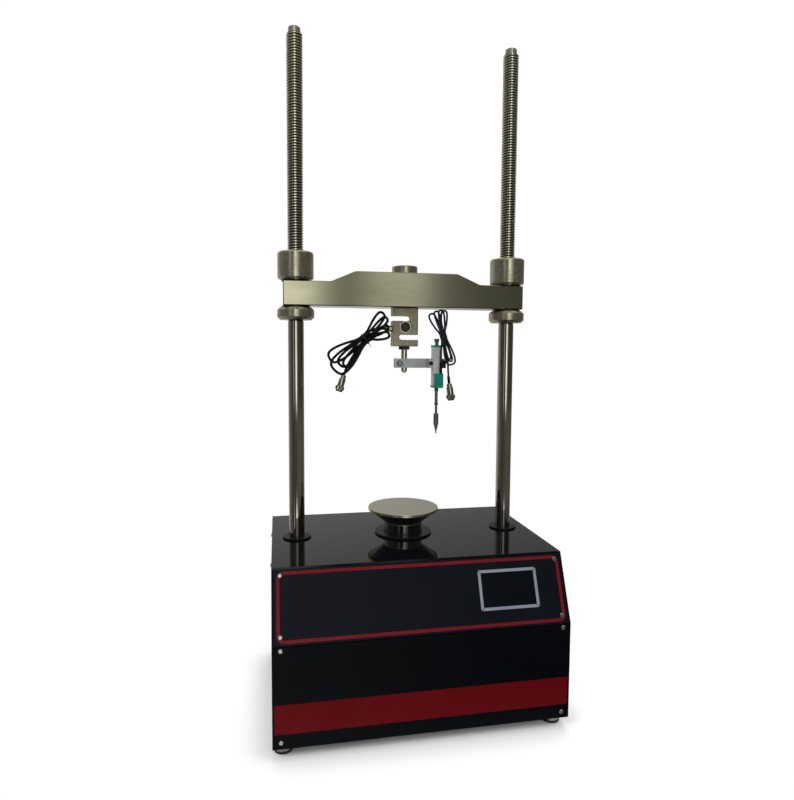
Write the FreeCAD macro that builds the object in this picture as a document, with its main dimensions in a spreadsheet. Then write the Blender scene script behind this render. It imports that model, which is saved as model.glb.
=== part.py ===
import FreeCAD, Part
import math
import os
from types import SimpleNamespace

import Sketcher

# Two-column load frame for triaxial soil tests, in millimetres.
# X runs left to right, Y front to back and Z up from the floor.
# The origin is on the floor, under the middle of the console.

SIZES = [
    ("body_width", 520, "console, left to right"),
    ("body_depth", 368, "console, lower front face to back edge"),
    ("body_height", 288, "console, underside to top"),
    ("ground_clearance", 22, "floor to the console's underside"),
    ("knee_height", 173, "underside to the foot of the sloping panel"),
    ("slope_run", 46, "how far the sloping panel leans back"),
    ("side_wall", 3, "side panel sheet"),
    ("cover_thick", 3, "top cover sheet"),
    ("panel_thick", 3, "front and rear panels"),
    ("base_thick", 5, "base plate"),
    ("fold_width", 20, "folded edge of a side panel"),
    ("fold_thick", 3, "folded edge of a side panel, sheet"),
    ("rear_inset", 12, "rear panel behind the back edge"),
    ("panel_gap", 0.3, "gap round a panel"),
    ("knee_gap", 1.5, "seam between the two front panels"),
    ("edge_round", 0.8, "rounding of the top cover's rim"),
    ("load_plate_thick", 25, "plate that carries columns and jack"),
    ("load_plate_front", 152, "load plate ahead of the columns"),
    ("load_plate_gap", 19, "load plate ahead of the rear panel"),
    ("post_size", 30, "square tube under the load plate"),
    ("post_wall", 2.5, "wall of that tube"),
    ("post_front", 110, "front posts ahead of the columns"),
    ("post_back", 25, "rear posts ahead of the load plate's back edge"),
    ("screw_head_dia", 8, "panel screw head"),
    ("screw_head_height", 2, "panel screw head"),
    ("screw_shank_dia", 4, "panel screw shank"),
    ("screw_length", 9, "panel screw below its head"),
    ("screw_play", 0.2, "clearance round a screw"),
    ("recess_length", 4.4, "cross recess of a panel screw"),
    ("recess_width", 0.9, "cross recess of a panel screw"),
    ("recess_depth", 1.1, "cross recess of a panel screw"),
    ("screw_inset", 14, "panel screws in from the side"),
    ("slope_screw_low", 14, "lower screws up the slope"),
    ("slope_screw_high", 10.1, "upper screws below the slope's end"),
    ("front_screw_low", 11.5, "lower screws above the underside"),
    ("front_screw_high", 166, "upper screws above the underside"),
    ("rear_screw_margin", 14, "rear screws from the panel's ends"),
    ("side_screw_front", 106, "front side screw ahead of the columns"),
    ("side_screw_back", 71, "rear side screw behind the columns"),
    ("foot_dia", 32, "levelling foot"),
    ("foot_rubber", 4.5, "rubber under a foot"),
    ("foot_stud_dia", 10, "foot stud"),
    ("foot_stud_length", 25, "foot stud above its disc"),
    ("foot_disc_height", 15.5, "top of the foot's disc"),
    ("foot_inset_side", 18, "foot in from the side"),
    ("foot_inset_end", 34, "foot in from front and back"),
    ("foot_play", 0.3, "clearance round a foot stud"),
    ("foot_nut_flats", 17, "foot lock nut across flats"),
    ("foot_nut_height", 6, "foot lock nut"),
    ("column_setback", 209, "columns behind the lower front face"),
    ("column_spacing", 423, "between the column axes"),
    ("column_dia", 30, "column"),
    ("column_rise", 947, "column's full diameter above the cover"),
    ("column_play", 0.3, "clearance round a column"),
    ("column_end_dia", 22.5, "turned-down top of a column"),
    ("column_end_length", 10, "turned-down top of a column"),
    ("anchor_dia", 24, "column's threaded foot"),
    ("anchor_nut_flats", 36, "nut under the load plate"),
    ("anchor_nut_height", 19, "nut under the load plate"),
    ("collar_dia", 55, "washer round a column"),
    ("collar_height", 3.5, "washer round a column"),
    ("ram_dia", 76, "loading ram"),
    ("ram_show", 22, "ram seen below the platen"),
    ("ram_drop", 18.5, "how far the ram can sink onto its thrust collar"),
    ("ram_wall", 13, "ram tube"),
    ("ram_roof", 16, "closed top of the ram"),
    ("ram_fit", 0.05, "running clearance in the guide bush"),
    ("ram_collar_dia", 114, "black ring round the ram"),
    ("ram_collar_height", 4, "black ring round the ram"),
    ("ram_collar_play", 0.8, "clearance between ring and ram"),
    ("platen_dia", 140, "platen"),
    ("platen_height", 30.7, "platen with its cone"),
    ("platen_rim", 5, "straight rim of the platen"),
    ("bush_wall", 7, "guide bush"),
    ("bush_length", 70, "guide bush"),
    ("jack_barrel_dia", 106, "jack housing"),
    ("jack_flange_dia", 150, "flange under the load plate"),
    ("jack_flange_thick", 14, "flange under the load plate"),
    ("jack_foot_dia", 124, "lower flange of the jack housing"),
    ("jack_foot_thick", 10, "lower flange of the jack housing"),
    ("jack_floor", 16, "floor of the jack housing"),
    ("jack_play", 0.2, "fit of the housing's parts"),
    ("drive_plate_height", 54, "underside of the drive plate above the console's"),
    ("drive_plate_thick", 8, "plate that carries jack and motor"),
    ("drive_plate_width", 120, "plate that carries jack and motor"),
    ("spindle_dia", 25, "lead screw"),
    ("spindle_journal_dia", 20, "lead screw in its bearing"),
    ("spindle_tail_dia", 16, "lead screw in its pulley"),
    ("spindle_collar_dia", 36, "thrust collar of the lead screw"),
    ("spindle_collar_thick", 3.2, "thrust collar of the lead screw"),
    ("spindle_length", 160, "lead screw above its collar"),
    ("spindle_play", 0.3, "clearance round the lead screw"),
    ("ram_nut_length", 50, "ram nut"),
    ("ram_nut_flange", 10, "flange of the ram nut"),
    ("pulley_height", 22, "both pulleys"),
    ("pulley_gap", 10, "drive plate down to the pulleys"),
    ("tooth_pitch", 5, "belt and pulleys"),
    ("jack_teeth", 60, "teeth of the jack pulley"),
    ("motor_teeth", 20, "teeth of the motor pulley"),
    ("tooth_depth", 2, "pulley groove"),
    ("belt_width", 18, "timing belt"),
    ("belt_thick", 2.4, "timing belt"),
    ("belt_play", 0.3, "belt to pulley crest"),
    ("motor_offset", 150, "motor axis beside the ram axis"),
    ("motor_size", 86, "motor, square"),
    ("motor_length", 116, "motor"),
    ("motor_corner", 7, "rounded corner of the motor"),
    ("motor_shaft_dia", 14, "motor shaft"),
    ("motor_shaft_in", 30, "motor shaft inside the motor"),
    ("motor_shaft_play", 0.3, "clearance round the motor shaft"),
    ("screen_width", 108.5, "touch screen front"),
    ("screen_height", 68.2, "touch screen front, along the slope"),
    ("screen_margin", 53.45, "screen's right edge from the console's side"),
    ("screen_lift", 4.5, "screen centre above the slope's middle"),
    ("screen_depth", 26, "touch screen module behind the panel"),
    ("screen_case_margin", 4, "module inside its front"),
    ("crosshead_height", 448, "crosshead underside above the cover"),
    ("crosshead_length", 471, "crosshead"),
    ("crosshead_thick", 55, "crosshead, front to back"),
    ("crosshead_end", 46, "crosshead height at its ends"),
    ("crosshead_middle", 66, "crosshead height at its middle"),
    ("crosshead_plateau", 200, "raised middle of the crosshead"),
    ("crosshead_shoulder", 292, "where the slopes meet the ends"),
    ("crosshead_bend", 14, "rounding of the slopes' corners"),
    ("crosshead_edge", 1.5, "chamfer along the crosshead"),
    ("nut_play", 0.2, "nut to crosshead"),
    ("nut_neck_dia", 54, "neck of a column nut"),
    ("upper_nut_dia", 68, "column nut above the crosshead"),
    ("upper_nut_height", 51, "its body"),
    ("upper_nut_neck", 4, "its neck"),
    ("upper_nut_round", 5, "its rounded upper edge"),
    ("upper_nut_chamfer", 2.5, "its lower edge"),
    ("lower_nut_dia", 70, "column nut below the crosshead"),
    ("lower_nut_height", 23.3, "its body"),
    ("lower_nut_neck", 2.5, "its neck"),
    ("lower_nut_chamfer", 5, "its edges"),
    ("bolt_head_dia", 50, "bolt that hangs the load cell"),
    ("bolt_head_height", 14, "its head"),
    ("bolt_head_chamfer", 1.2, "edge of its head"),
    ("bolt_dia", 16, "its shank"),
    ("bolt_reach", 14, "its thread in the load cell"),
    ("bolt_play", 0.5, "clearance in the crosshead"),
    ("cell_width", 50, "S-shaped load cell"),
    ("cell_height", 75, "S-shaped load cell"),
    ("cell_thick", 26, "S-shaped load cell"),
    ("cell_slot", 10, "height of a slot"),
    ("cell_slot_top", 15.4, "upper slot below the cell's top"),
    ("cell_slot_bottom", 12.8, "lower slot above the cell's bottom"),
    ("cell_slot_end", 12.5, "closed end of a slot past the middle"),
    ("cell_relief_dia", 11, "drilled end of a slot"),
    ("cell_recess_dia", 24, "gauge recess in both faces"),
    ("cell_recess_rim_dia", 28, "step round the recess"),
    ("cell_recess_rim", 0.8, "depth of that step"),
    ("cell_recess_depth", 4, "gauge recess"),
    ("cell_recess_rise", 37.7, "recess centre above the cell's bottom"),
    ("cell_edge", 0.8, "chamfer of the cell"),
    ("thread_fit", 0.05, "clearance of a fixed thread"),
    ("gland_rise", 34.5, "cable gland above the cell's bottom"),
    ("gland_dia", 12, "cable gland"),
    ("gland_length", 15, "cable gland outside the cell"),
    ("gland_thread_dia", 7, "its thread"),
    ("gland_thread_length", 4, "its thread"),
    ("stud_dia", 12, "loading stud"),
    ("stud_below", 52.2, "stud below the load cell"),
    ("stud_in_cell", 11.8, "stud inside the load cell"),
    ("stud_nut_flats", 19, "lock nut of the stud"),
    ("stud_nut_height", 6.2, "lock nut of the stud"),
    ("bar_rise", 10.2, "bracket bar above the stud's tip"),
    ("bar_height", 18.3, "bracket bar"),
    ("bar_thick", 20, "bracket bar, front to back"),
    ("bar_left", 19, "bar left of the stud"),
    ("bar_right", 80, "bar right of the stud"),
    ("bar_edge", 0.8, "chamfer of the bar"),
    ("bar_bore_play", 0.1, "stud in the bar"),
    ("bar_slit", 1.6, "slit of the bar's clamp"),
    ("pinch_offset", 10.8, "pinch screw left of the stud"),
    ("pinch_head_dia", 10.6, "pinch screw head"),
    ("pinch_head_height", 4, "pinch screw head"),
    ("pinch_dia", 5, "pinch and jaw screws"),
    ("jaw_width", 8.6, "jaw beside the transducer"),
    ("jaw_head_dia", 8.4, "jaw screw head"),
    ("jaw_head_height", 4.6, "jaw screw head"),
    ("jaw_socket_flats", 4, "hexagon socket of the jaw screw"),
    ("jaw_socket_depth", 2.6, "hexagon socket of the jaw screw"),
    ("black_jaw_depth", 14, "black jaw, front to back"),
    ("black_jaw_height", 15.6, "black jaw"),
    ("probe_offset", 61.2, "transducer axis right of the stud"),
    ("probe_size", 18, "transducer body, square"),
    ("probe_play", 0.3, "transducer in its jaws"),
    ("probe_low", 43.15, "body bottom below the bar's middle"),
    ("probe_length", 75, "transducer body"),
    ("probe_corner", 1.2, "rounded edge of the body"),
    ("probe_cap", 3.5, "top cap"),
    ("probe_foot", 4.6, "bottom cap"),
    ("probe_cap_proud", 0.4, "cap beyond the body"),
    ("probe_boss_dia", 7, "boss on the top cap"),
    ("probe_boss_height", 6.5, "boss on the top cap"),
    ("probe_bush_dia", 8, "bush under the bottom cap"),
    ("probe_bush_length", 7.4, "bush under the bottom cap"),
    ("probe_block_depth", 8, "cable block in front"),
    ("probe_block_height", 28, "cable block"),
    ("probe_block_width", 17.2, "cable block"),
    ("probe_rod_dia", 4.8, "plunger rod inside"),
    ("probe_rod_play", 0.25, "clearance round the plunger"),
    ("probe_counterbore", 24, "wide part of the bore, for the plunger's travel"),
    ("knob_dia", 10, "knob on the plunger"),
    ("knob_height", 6, "knob on the plunger"),
    ("knob_gap", 0.3, "knob above the boss"),
    ("plunger_rod_dia", 6, "plunger below the bush"),
    ("plunger_ring_drop", 27, "stop ring below the bush"),
    ("plunger_ring_dia", 7.2, "stop ring"),
    ("plunger_ring_height", 4, "stop ring"),
    ("plunger_neck_dia", 4.8, "neck above the tip"),
    ("plunger_tip_drop", 43, "tip body below the bush"),
    ("plunger_tip_dia", 10, "tip body"),
    ("plunger_tip_length", 23, "tip body"),
    ("plunger_point_length", 17.4, "tapered point"),
    ("plunger_point_dia", 2.6, "end of the point"),
    ("sleeve_offset", 5.3, "strain relief right of the transducer axis"),
    ("sleeve_length", 22.6, "strain relief"),
    ("sleeve_low_dia", 6, "strain relief at the block"),
    ("sleeve_high_dia", 4.6, "strain relief at its end"),
    ("cell_cable_dia", 5, "load cell cable"),
    ("probe_cable_dia", 3.8, "transducer cable"),
    ("cell_hank_thick", 13, "load cell cable's hank, front to back"),
    ("cell_hank_forward", 13.5, "its middle ahead of the columns"),
    ("probe_hank_thick", 10, "transducer cable's hank, front to back"),
    ("probe_hank_forward", 34.5, "its middle ahead of the columns"),
    ("plug_length", 33, "cable plug"),
    ("plug_ring_dia", 17.5, "its coupling ring"),
    ("plug_ring_length", 8, "its coupling ring"),
    ("plug_body_dia", 13, "its body"),
    ("plug_nut_dia", 10.5, "its cable nut"),
    ("plug_nut_length", 6, "its cable nut"),
    ("plug_face_dia", 13.4, "its black front"),
    ("plug_face_length", 3, "its black front"),
    ("inlet_margin", 82, "power inlet in from the console's side"),
    ("inlet_rise", 40, "its cut-out above the base plate"),
    ("inlet_width", 44, "its body"),
    ("inlet_height", 58, "its body"),
    ("inlet_depth", 24, "its body behind the rear panel"),
    ("inlet_lip", 3, "its flange beyond the body"),
    ("inlet_lip_thick", 2.5, "its flange"),
    ("inlet_mouth_width", 24.4, "mains socket"),
    ("inlet_mouth_height", 16.6, "mains socket"),
    ("inlet_mouth_depth", 17, "mains socket"),
    ("inlet_mouth_rise", 17, "socket centre above the body's bottom"),
    ("inlet_pin_pitch", 7, "mains pins"),
    ("inlet_pin_length", 11.5, "mains pins"),
    ("inlet_pin_width", 2, "mains pins"),
    ("inlet_pin_height", 4, "mains pins"),
    ("rocker_width", 20, "power rocker"),
    ("rocker_height", 12.8, "power rocker"),
    ("rocker_rise", 43, "rocker centre above the body's bottom"),
    ("rocker_play", 0.7, "clearance round the rocker"),
    ("rocker_well", 9, "depth of its well"),
    ("rocker_tilt", 8, "rest angle, degrees"),
    ("socket_first", 150, "outer signal socket left of the middle"),
    ("socket_pitch", 40, "between the signal sockets"),
    ("socket_rise", 83, "signal sockets above the base plate"),
    ("socket_flange_dia", 22, "signal socket flange"),
    ("socket_flange_thick", 2, "signal socket flange"),
    ("socket_ring_dia", 16, "its threaded ring"),
    ("socket_ring_length", 9, "its threaded ring"),
    ("socket_face_dia", 12.6, "its insulator"),
    ("socket_face_recess", 1.2, "its insulator below the ring"),
    ("socket_tail_length", 14, "its body behind the panel"),
    ("vent_length", 60, "ventilation slot"),
    ("vent_height", 4, "ventilation slot"),
    ("vent_pitch", 10, "between slots"),
    ("vent_rows", 7, "slots in a group"),
    ("vent_offset", 60, "slot group from the middle"),
    ("vent_low", 150, "lowest slot above the base plate"),
    ("supply_length", 130, "power supply"),
    ("supply_width", 100, "power supply"),
    ("supply_height", 45, "power supply"),
    ("board_length", 140, "control board"),
    ("board_width", 90, "control board"),
    ("board_standoff", 8, "control board above the base plate"),
    ("board_thick", 1.6, "control board"),
    ("inner_margin", 36, "inner parts from the side panels"),
]


class Size:
    """A length, with the expression that gives it from the sheet."""

    def __init__(self, value, text):
        self.value = float(value)
        self.text = text

    def __float__(self):
        return self.value

    def __add__(self, other):
        other = as_size(other)
        return Size(self.value + other.value, f"({self.text} + {other.text})")

    def __sub__(self, other):
        other = as_size(other)
        return Size(self.value - other.value, f"({self.text} - {other.text})")

    def __mul__(self, other):
        other = as_size(other)
        return Size(self.value * other.value, f"({self.text} * {other.text})")

    def __truediv__(self, other):
        other = as_size(other)
        return Size(self.value / other.value, f"({self.text} / {other.text})")

    def __radd__(self, other):
        return as_size(other) + self

    def __rsub__(self, other):
        return as_size(other) - self

    def __rmul__(self, other):
        return as_size(other) * self

    def __neg__(self):
        return Size(-self.value, f"(0 - {self.text})")


def as_size(value):
    if isinstance(value, Size):
        return value
    return Size(value, repr(float(value)))


def hypotenuse(a, b):
    return Size(math.hypot(a.value, b.value), f"hypot({a.text}; {b.text})")


doc = FreeCAD.newDocument("LoadFrame")
sheet = doc.addObject("Spreadsheet::Sheet", "Sizes")
for row, (alias, value, note) in enumerate(SIZES, start=1):
    sheet.set(f"A{row}", note)
    sheet.set(f"B{row}", str(value))
    sheet.setAlias(f"B{row}", alias)
doc.recompute()
d = SimpleNamespace(**{alias: Size(value, f"Sizes.{alias}") for alias, value, note in SIZES})

# Places that follow from the sizes.
half_width = d.body_width / 2
inner_side = half_width - d.side_wall
front = (d.screw_head_height - d.body_depth) / 2
back = front + d.body_depth
axis_y = front + d.column_setback
underside = d.ground_clearance
base_top = underside + d.base_thick
top = underside + d.body_height
cover_under = top - d.cover_thick
plate_under = cover_under - d.load_plate_thick
knee = underside + d.knee_height
slope_rise = top - knee
slope_full = hypotenuse(d.slope_run, slope_rise)
slope_end = (cover_under - knee) * slope_full / slope_rise
slope_angle = math.degrees(math.atan2(float(slope_rise), float(d.slope_run)))
screw_x = half_width - d.screw_inset
foot_x = half_width - d.foot_inset_side
foot_ys = (front + d.foot_inset_end, back - d.foot_inset_end)
column_x = d.column_spacing / 2
column_top = top + d.column_rise
rear_face = back - d.rear_inset
inlet_middle = half_width - d.inlet_margin
crosshead_under = top + d.crosshead_height
cell_top = crosshead_under
cell_bottom = cell_top - d.cell_height
stud_tip = cell_bottom - d.stud_below
bar_low = stud_tip + d.bar_rise
bar_high = bar_low + d.bar_height
bar_middle = bar_low + d.bar_height / 2
bar_front = axis_y - d.bar_thick / 2
probe_x = d.probe_offset
probe_back = bar_front - d.probe_play
probe_front = probe_back - d.probe_size
probe_y = probe_back - d.probe_size / 2
probe_bottom = bar_middle - d.probe_low
probe_top = probe_bottom + d.probe_length
block_low = probe_bottom - d.probe_foot
block_high = block_low + d.probe_block_height
load_plate_back = rear_face - d.panel_thick - d.load_plate_gap
drive_under = underside + d.drive_plate_height
drive_top = drive_under + d.drive_plate_thick
pulley_top = drive_under - d.pulley_gap
pulley_low = pulley_top - d.pulley_height


# Helpers.
def bind(thing, **values):
    for name, value in values.items():
        thing.setExpression(name, as_size(value).text)


def put(thing, x=0, y=0, z=0):
    for letter, value in zip("xyz", (x, y, z)):
        thing.setExpression(f"Placement.Base.{letter}", as_size(value).text)
    return thing


def block(name, x, y, z):
    """A box between pairs of coordinates."""
    box = doc.addObject("Part::Box", name)
    bind(box, Length=x[1] - x[0], Width=y[1] - y[0], Height=z[1] - z[0])
    return put(box, x[0], y[0], z[0])


TURNS = {
    "x": FreeCAD.Rotation(FreeCAD.Vector(0, 1, 0), 90),
    "y": FreeCAD.Rotation(FreeCAD.Vector(1, 0, 0), -90),
    "z": FreeCAD.Rotation(),
}


def lengthwise(solid, x, y, z):
    """Lays a cylinder or prism along the coordinate that is given as a pair."""
    along = next(letter for letter, value in zip("xyz", (x, y, z)) if isinstance(value, tuple))
    low, high = {"x": x, "y": y, "z": z}[along]
    bind(solid, Height=high - low)
    solid.Placement = FreeCAD.Placement(FreeCAD.Vector(), TURNS[along])
    start = [value[0] if isinstance(value, tuple) else value for value in (x, y, z)]
    return put(solid, *start)


def rod(name, radius, x, y, z):
    cylinder = doc.addObject("Part::Cylinder", name)
    bind(cylinder, Radius=radius)
    return lengthwise(cylinder, x, y, z)


def hexagon(name, flats, x, y, z):
    prism = doc.addObject("Part::Prism", name)
    prism.Polygon = 6
    bind(prism, Circumradius=flats / math.sqrt(3))
    return lengthwise(prism, x, y, z)


def joined(name, *pieces):
    fuse = doc.addObject("Part::MultiFuse", name)
    fuse.Shapes = list(pieces)
    fuse.Refine = True
    return fuse


def cut(name, base, *tools):
    result = doc.addObject("Part::Cut", name)
    result.Base = base
    result.Tool = tools[0] if len(tools) == 1 else joined(name + "_tools", *tools)
    return result


def group(name, *pieces):
    compound = doc.addObject("Part::Compound", name)
    compound.Links = list(pieces)
    return compound


def tilt(thing):
    """Lays a piece drawn flat at the origin on the sloping front, its X and Y along the slope."""
    turn = FreeCAD.Rotation(FreeCAD.Vector(1, 0, 0), slope_angle)
    thing.Placement = FreeCAD.Placement(FreeCAD.Vector(), turn)
    return put(thing, 0, front, knee)


def origin_plane(body, role):
    return next(feature for feature in body.Origin.OriginFeatures if feature.Role == role)


def fix_point(sketch, line, point):
    for value, kind, axis in zip(point, ("DistanceX", "DistanceY"), (-2, -1)):
        value = as_size(value)
        if value.value == 0:
            sketch.addConstraint(Sketcher.Constraint("PointOnObject", line, 1, axis))
        else:
            constraint = Sketcher.Constraint(kind, -1, 1, line, 1, value.value)
            number = sketch.addConstraint(constraint)
            sketch.setExpression(f"Constraints[{number}]", value.text)


def outline(body, role, points):
    """A closed sketch of straight lines whose corners follow the sizes."""
    sketch = body.newObject("Sketcher::SketchObject", body.Name + "_sketch")
    sketch.AttachmentSupport = [(origin_plane(body, role), "")]
    sketch.MapMode = "FlatFace"
    corners = [FreeCAD.Vector(float(u), float(v), 0) for u, v in points]
    for start, end in zip(corners, corners[1:] + corners[:1]):
        sketch.addGeometry(Part.LineSegment(start, end), False)
    for line in range(len(points)):
        following = (line + 1) % len(points)
        sketch.addConstraint(Sketcher.Constraint("Coincident", line, 2, following, 1))
    for line, point in enumerate(points):
        fix_point(sketch, line, point)
    return sketch


def ring_edges(shape, radius, height):
    """The names of the circular edges of that radius at that height."""
    names = []
    for number, edge in enumerate(shape.Edges, start=1):
        if not isinstance(edge.Curve, Part.Circle):
            continue
        same_radius = abs(edge.Curve.Radius - radius) < 0.01
        if same_radius and abs(edge.Curve.Center.z - height) < 0.01:
            names.append(f"Edge{number}")
    return names


def turned(name, points, rounds=()):
    """A body revolved about Z from (radius, height) corners. Rounds are (radius, height, fillet)."""
    body = doc.addObject("PartDesign::Body", name)
    sketch = outline(body, "XZ_Plane", points)
    turn = body.newObject("PartDesign::Revolution", name + "_turn")
    turn.Profile = sketch
    turn.ReferenceAxis = (sketch, ["V_Axis"])
    turn.Angle = 360
    body.Tip = turn
    for radius, height, fillet in rounds:
        doc.recompute()
        last = body.Tip
        rounding = body.newObject("PartDesign::Fillet", name + "_round")
        rounding.Base = (last, ring_edges(last.Shape, float(radius), float(height)))
        bind(rounding, Radius=fillet)
        body.Tip = rounding
    return body


def extruded(name, role, points, length):
    """A body padded both ways from an origin plane."""
    body = doc.addObject("PartDesign::Body", name)
    sketch = outline(body, role, points)
    pad = body.newObject("PartDesign::Pad", name + "_pad")
    pad.Profile = sketch
    pad.SideType = "Symmetric"
    bind(pad, Length=length)
    body.Tip = pad
    return body


def edges_where(shape, test):
    return [f"Edge{number}" for number, edge in enumerate(shape.Edges, start=1) if test(edge)]


def dressed(body, kind, size, test):
    """Adds a PartDesign fillet or chamfer to the edges that pass the test."""
    doc.recompute()
    last = body.Tip
    feature = body.newObject(f"PartDesign::{kind}", f"{body.Name}_{kind.lower()}")
    feature.Base = (last, edges_where(last.Shape, test))
    if kind == "Fillet":
        bind(feature, Radius=size)
    else:
        bind(feature, Size=size)
    body.Tip = feature
    return body


def straight_along(edge, direction):
    if not isinstance(edge.Curve, Part.Line):
        return False
    return abs(abs(edge.Curve.Direction.dot(direction)) - 1) < 1e-6


X = FreeCAD.Vector(1, 0, 0)
Y = FreeCAD.Vector(0, 1, 0)
Z = FreeCAD.Vector(0, 0, 1)


def copies(name, master, placements):
    """A group of separate solids, each a copy of one master."""
    doc.recompute()
    feature = doc.addObject("Part::Feature", name)
    solids = []
    for placement in placements:
        solid = master.Shape.Solids[0].copy()
        solid.Placement = placement.multiply(solid.Placement)
        solids.append(solid)
    feature.Shape = Part.makeCompound(solids)
    return feature


def at(x, y, z, turn=None):
    vector = FreeCAD.Vector(float(x), float(y), float(z))
    return FreeCAD.Placement(vector, turn or FreeCAD.Rotation())


NODES = []


def node(thing):
    """Marks an object as a finished sub-part of the frame."""
    thing.Label = thing.Name
    NODES.append(thing)
    return thing


def ends_of(value):
    """The same distance either side of the middle."""
    return (-value, value)


# Console sheet metal
panel_reach = inner_side - d.panel_gap
fold_front = front + d.panel_thick
fold_back = fold_front + d.fold_thick
screw_hole = d.screw_shank_dia / 2 + d.screw_play
slope_screw_rows = (d.slope_screw_low, slope_end - d.slope_screw_high)
front_screw_rows = (underside + d.front_screw_low, underside + d.front_screw_high)
rear_screw_rows = (base_top + d.rear_screw_margin, cover_under - d.rear_screw_margin)
side_screw_ys = (axis_y - d.side_screw_front, axis_y + d.side_screw_back)
side_screw_z = cover_under - d.load_plate_thick / 2


def slope_y(z):
    return front + d.slope_run * (z - knee) / slope_rise


def base_plate():
    sheet_metal = block("base_sheet", ends_of(inner_side), (fold_back, back), (underside, base_top))
    holes = [
        rod("base_hole", d.foot_stud_dia / 2 + d.foot_play, x, y, (underside - 1, base_top + 1))
        for x in ends_of(foot_x)
        for y in foot_ys
    ]
    return cut("base_plate", sheet_metal, *holes)


def corner_posts():
    tubes = []
    for side in (-1, 1):
        for y in (axis_y - d.post_front, load_plate_back - d.post_back):
            x = side * (inner_side - d.post_size / 2)
            reach = d.post_size / 2
            hollow = reach - d.post_wall
            z = (base_top, plate_under)
            outer = block("post_outer", (x - reach, x + reach), (y - reach, y + reach), z)
            inner = block("post_inner", (x - hollow, x + hollow), (y - hollow, y + hollow), z)
            tubes.append(cut("post", outer, inner))
    return group("corner_posts", *tubes)


def load_plate():
    y = (axis_y - d.load_plate_front, load_plate_back)
    z = (plate_under, cover_under)
    slab = block("load_slab", ends_of(inner_side), y, z)
    through = (plate_under - 1, cover_under + 1)
    anchors = [
        rod("anchor_hole", d.anchor_dia / 2 + d.column_play, x, axis_y, through)
        for x in ends_of(column_x)
    ]
    middle = rod("jack_hole", jack_spigot + d.jack_play, 0, axis_y, through)
    threads = [
        rod("side_thread", screw_hole, x, y_screw, side_screw_z)
        for x in ((-inner_side - 1, -inner_side + d.screw_length), (inner_side - d.screw_length, inner_side + 1))
        for y_screw in side_screw_ys
    ]
    return cut("load_plate", slab, middle, *anchors, *threads)


def top_cover():
    points = [
        (slope_y(cover_under), cover_under),
        (slope_y(top), top),
        (back, top),
        (back, cover_under),
    ]
    sheet_metal = extruded("cover_sheet", "YZ_Plane", points, d.body_width)
    rim = float(top)

    def on_rim(edge):
        return all(abs(vertex.Z - rim) < 0.01 for vertex in edge.Vertexes)

    dressed(sheet_metal, "Fillet", d.edge_round, on_rim)
    through = (cover_under - 1, top + 1)
    holes = [
        rod("cover_hole", d.column_dia / 2 + d.column_play, x, axis_y, through)
        for x in ends_of(column_x)
    ]
    holes.append(rod("cover_ram_hole", d.ram_dia / 2 + d.ram_collar_play, 0, axis_y, through))
    return cut("top_cover", sheet_metal, *holes)


def right_side_panel():
    points = [
        (front, underside),
        (front, knee),
        (slope_y(cover_under), cover_under),
        (back, cover_under),
        (back, underside),
    ]
    wall = put(extruded("side_sheet", "YZ_Plane", points, d.side_wall), half_width - d.side_wall / 2)
    fold_x = (inner_side - d.fold_width, inner_side)
    lower = block("fold_lower", fold_x, (fold_front, fold_back), (underside, knee - d.fold_thick - 1))
    slope_z = (-d.panel_thick - d.fold_thick, -d.panel_thick)
    upper = block("fold_upper", fold_x, (d.fold_thick, slope_end - d.fold_thick), slope_z)
    upper_holes = [
        rod("fold_slope_hole", screw_hole, screw_x, row, (slope_z[0] - 1, slope_z[1] + 1))
        for row in slope_screw_rows
    ]
    upper = tilt(cut("fold_slope", upper, *upper_holes))
    rear_y = (rear_face - d.panel_thick - d.fold_thick, rear_face - d.panel_thick)
    rear = block("fold_rear", fold_x, rear_y, (base_top, cover_under))
    whole = joined("side_folded", wall, lower, upper, rear)
    holes = [
        rod("fold_front_hole", screw_hole, screw_x, (front, fold_back + 1), z) for z in front_screw_rows
    ]
    holes += [
        rod("fold_rear_hole", screw_hole, screw_x, (rear_y[0] - 1, rear_face), z)
        for z in rear_screw_rows
    ]
    holes += [
        rod("side_hole", screw_hole, (inner_side - 1, half_width + 1), y, side_screw_z)
        for y in side_screw_ys
    ]
    return cut("right_side_panel", whole, *holes)


def left_side_panel(right):
    mirror = doc.addObject("Part::Mirroring", "left_side_panel")
    mirror.Source = right
    mirror.Normal = X
    return mirror


def control_panel():
    z = (-d.panel_thick, as_size(0))
    sheet_metal = block("control_sheet", ends_of(panel_reach), (d.panel_gap, slope_end - d.panel_gap), z)
    through = (-d.panel_thick - 1, as_size(1))
    window_x = (screen_x[0] - d.panel_gap, screen_x[1] + d.panel_gap)
    window_y = (screen_y[0] - d.panel_gap, screen_y[1] + d.panel_gap)
    window = block("control_window", window_x, window_y, through)
    holes = [
        rod("control_hole", screw_hole, x, row, through)
        for x in ends_of(screw_x)
        for row in slope_screw_rows
    ]
    return tilt(cut("control_panel", sheet_metal, window, *holes))


def lower_front_panel():
    y = (front, front + d.panel_thick)
    sheet_metal = block("lower_sheet", ends_of(panel_reach), y, (underside, knee - d.knee_gap))
    holes = [
        rod("lower_hole", screw_hole, x, (front - 1, fold_front + 1), z)
        for x in ends_of(screw_x)
        for z in front_screw_rows
    ]
    return cut("lower_front_panel", sheet_metal, *holes)


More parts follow.
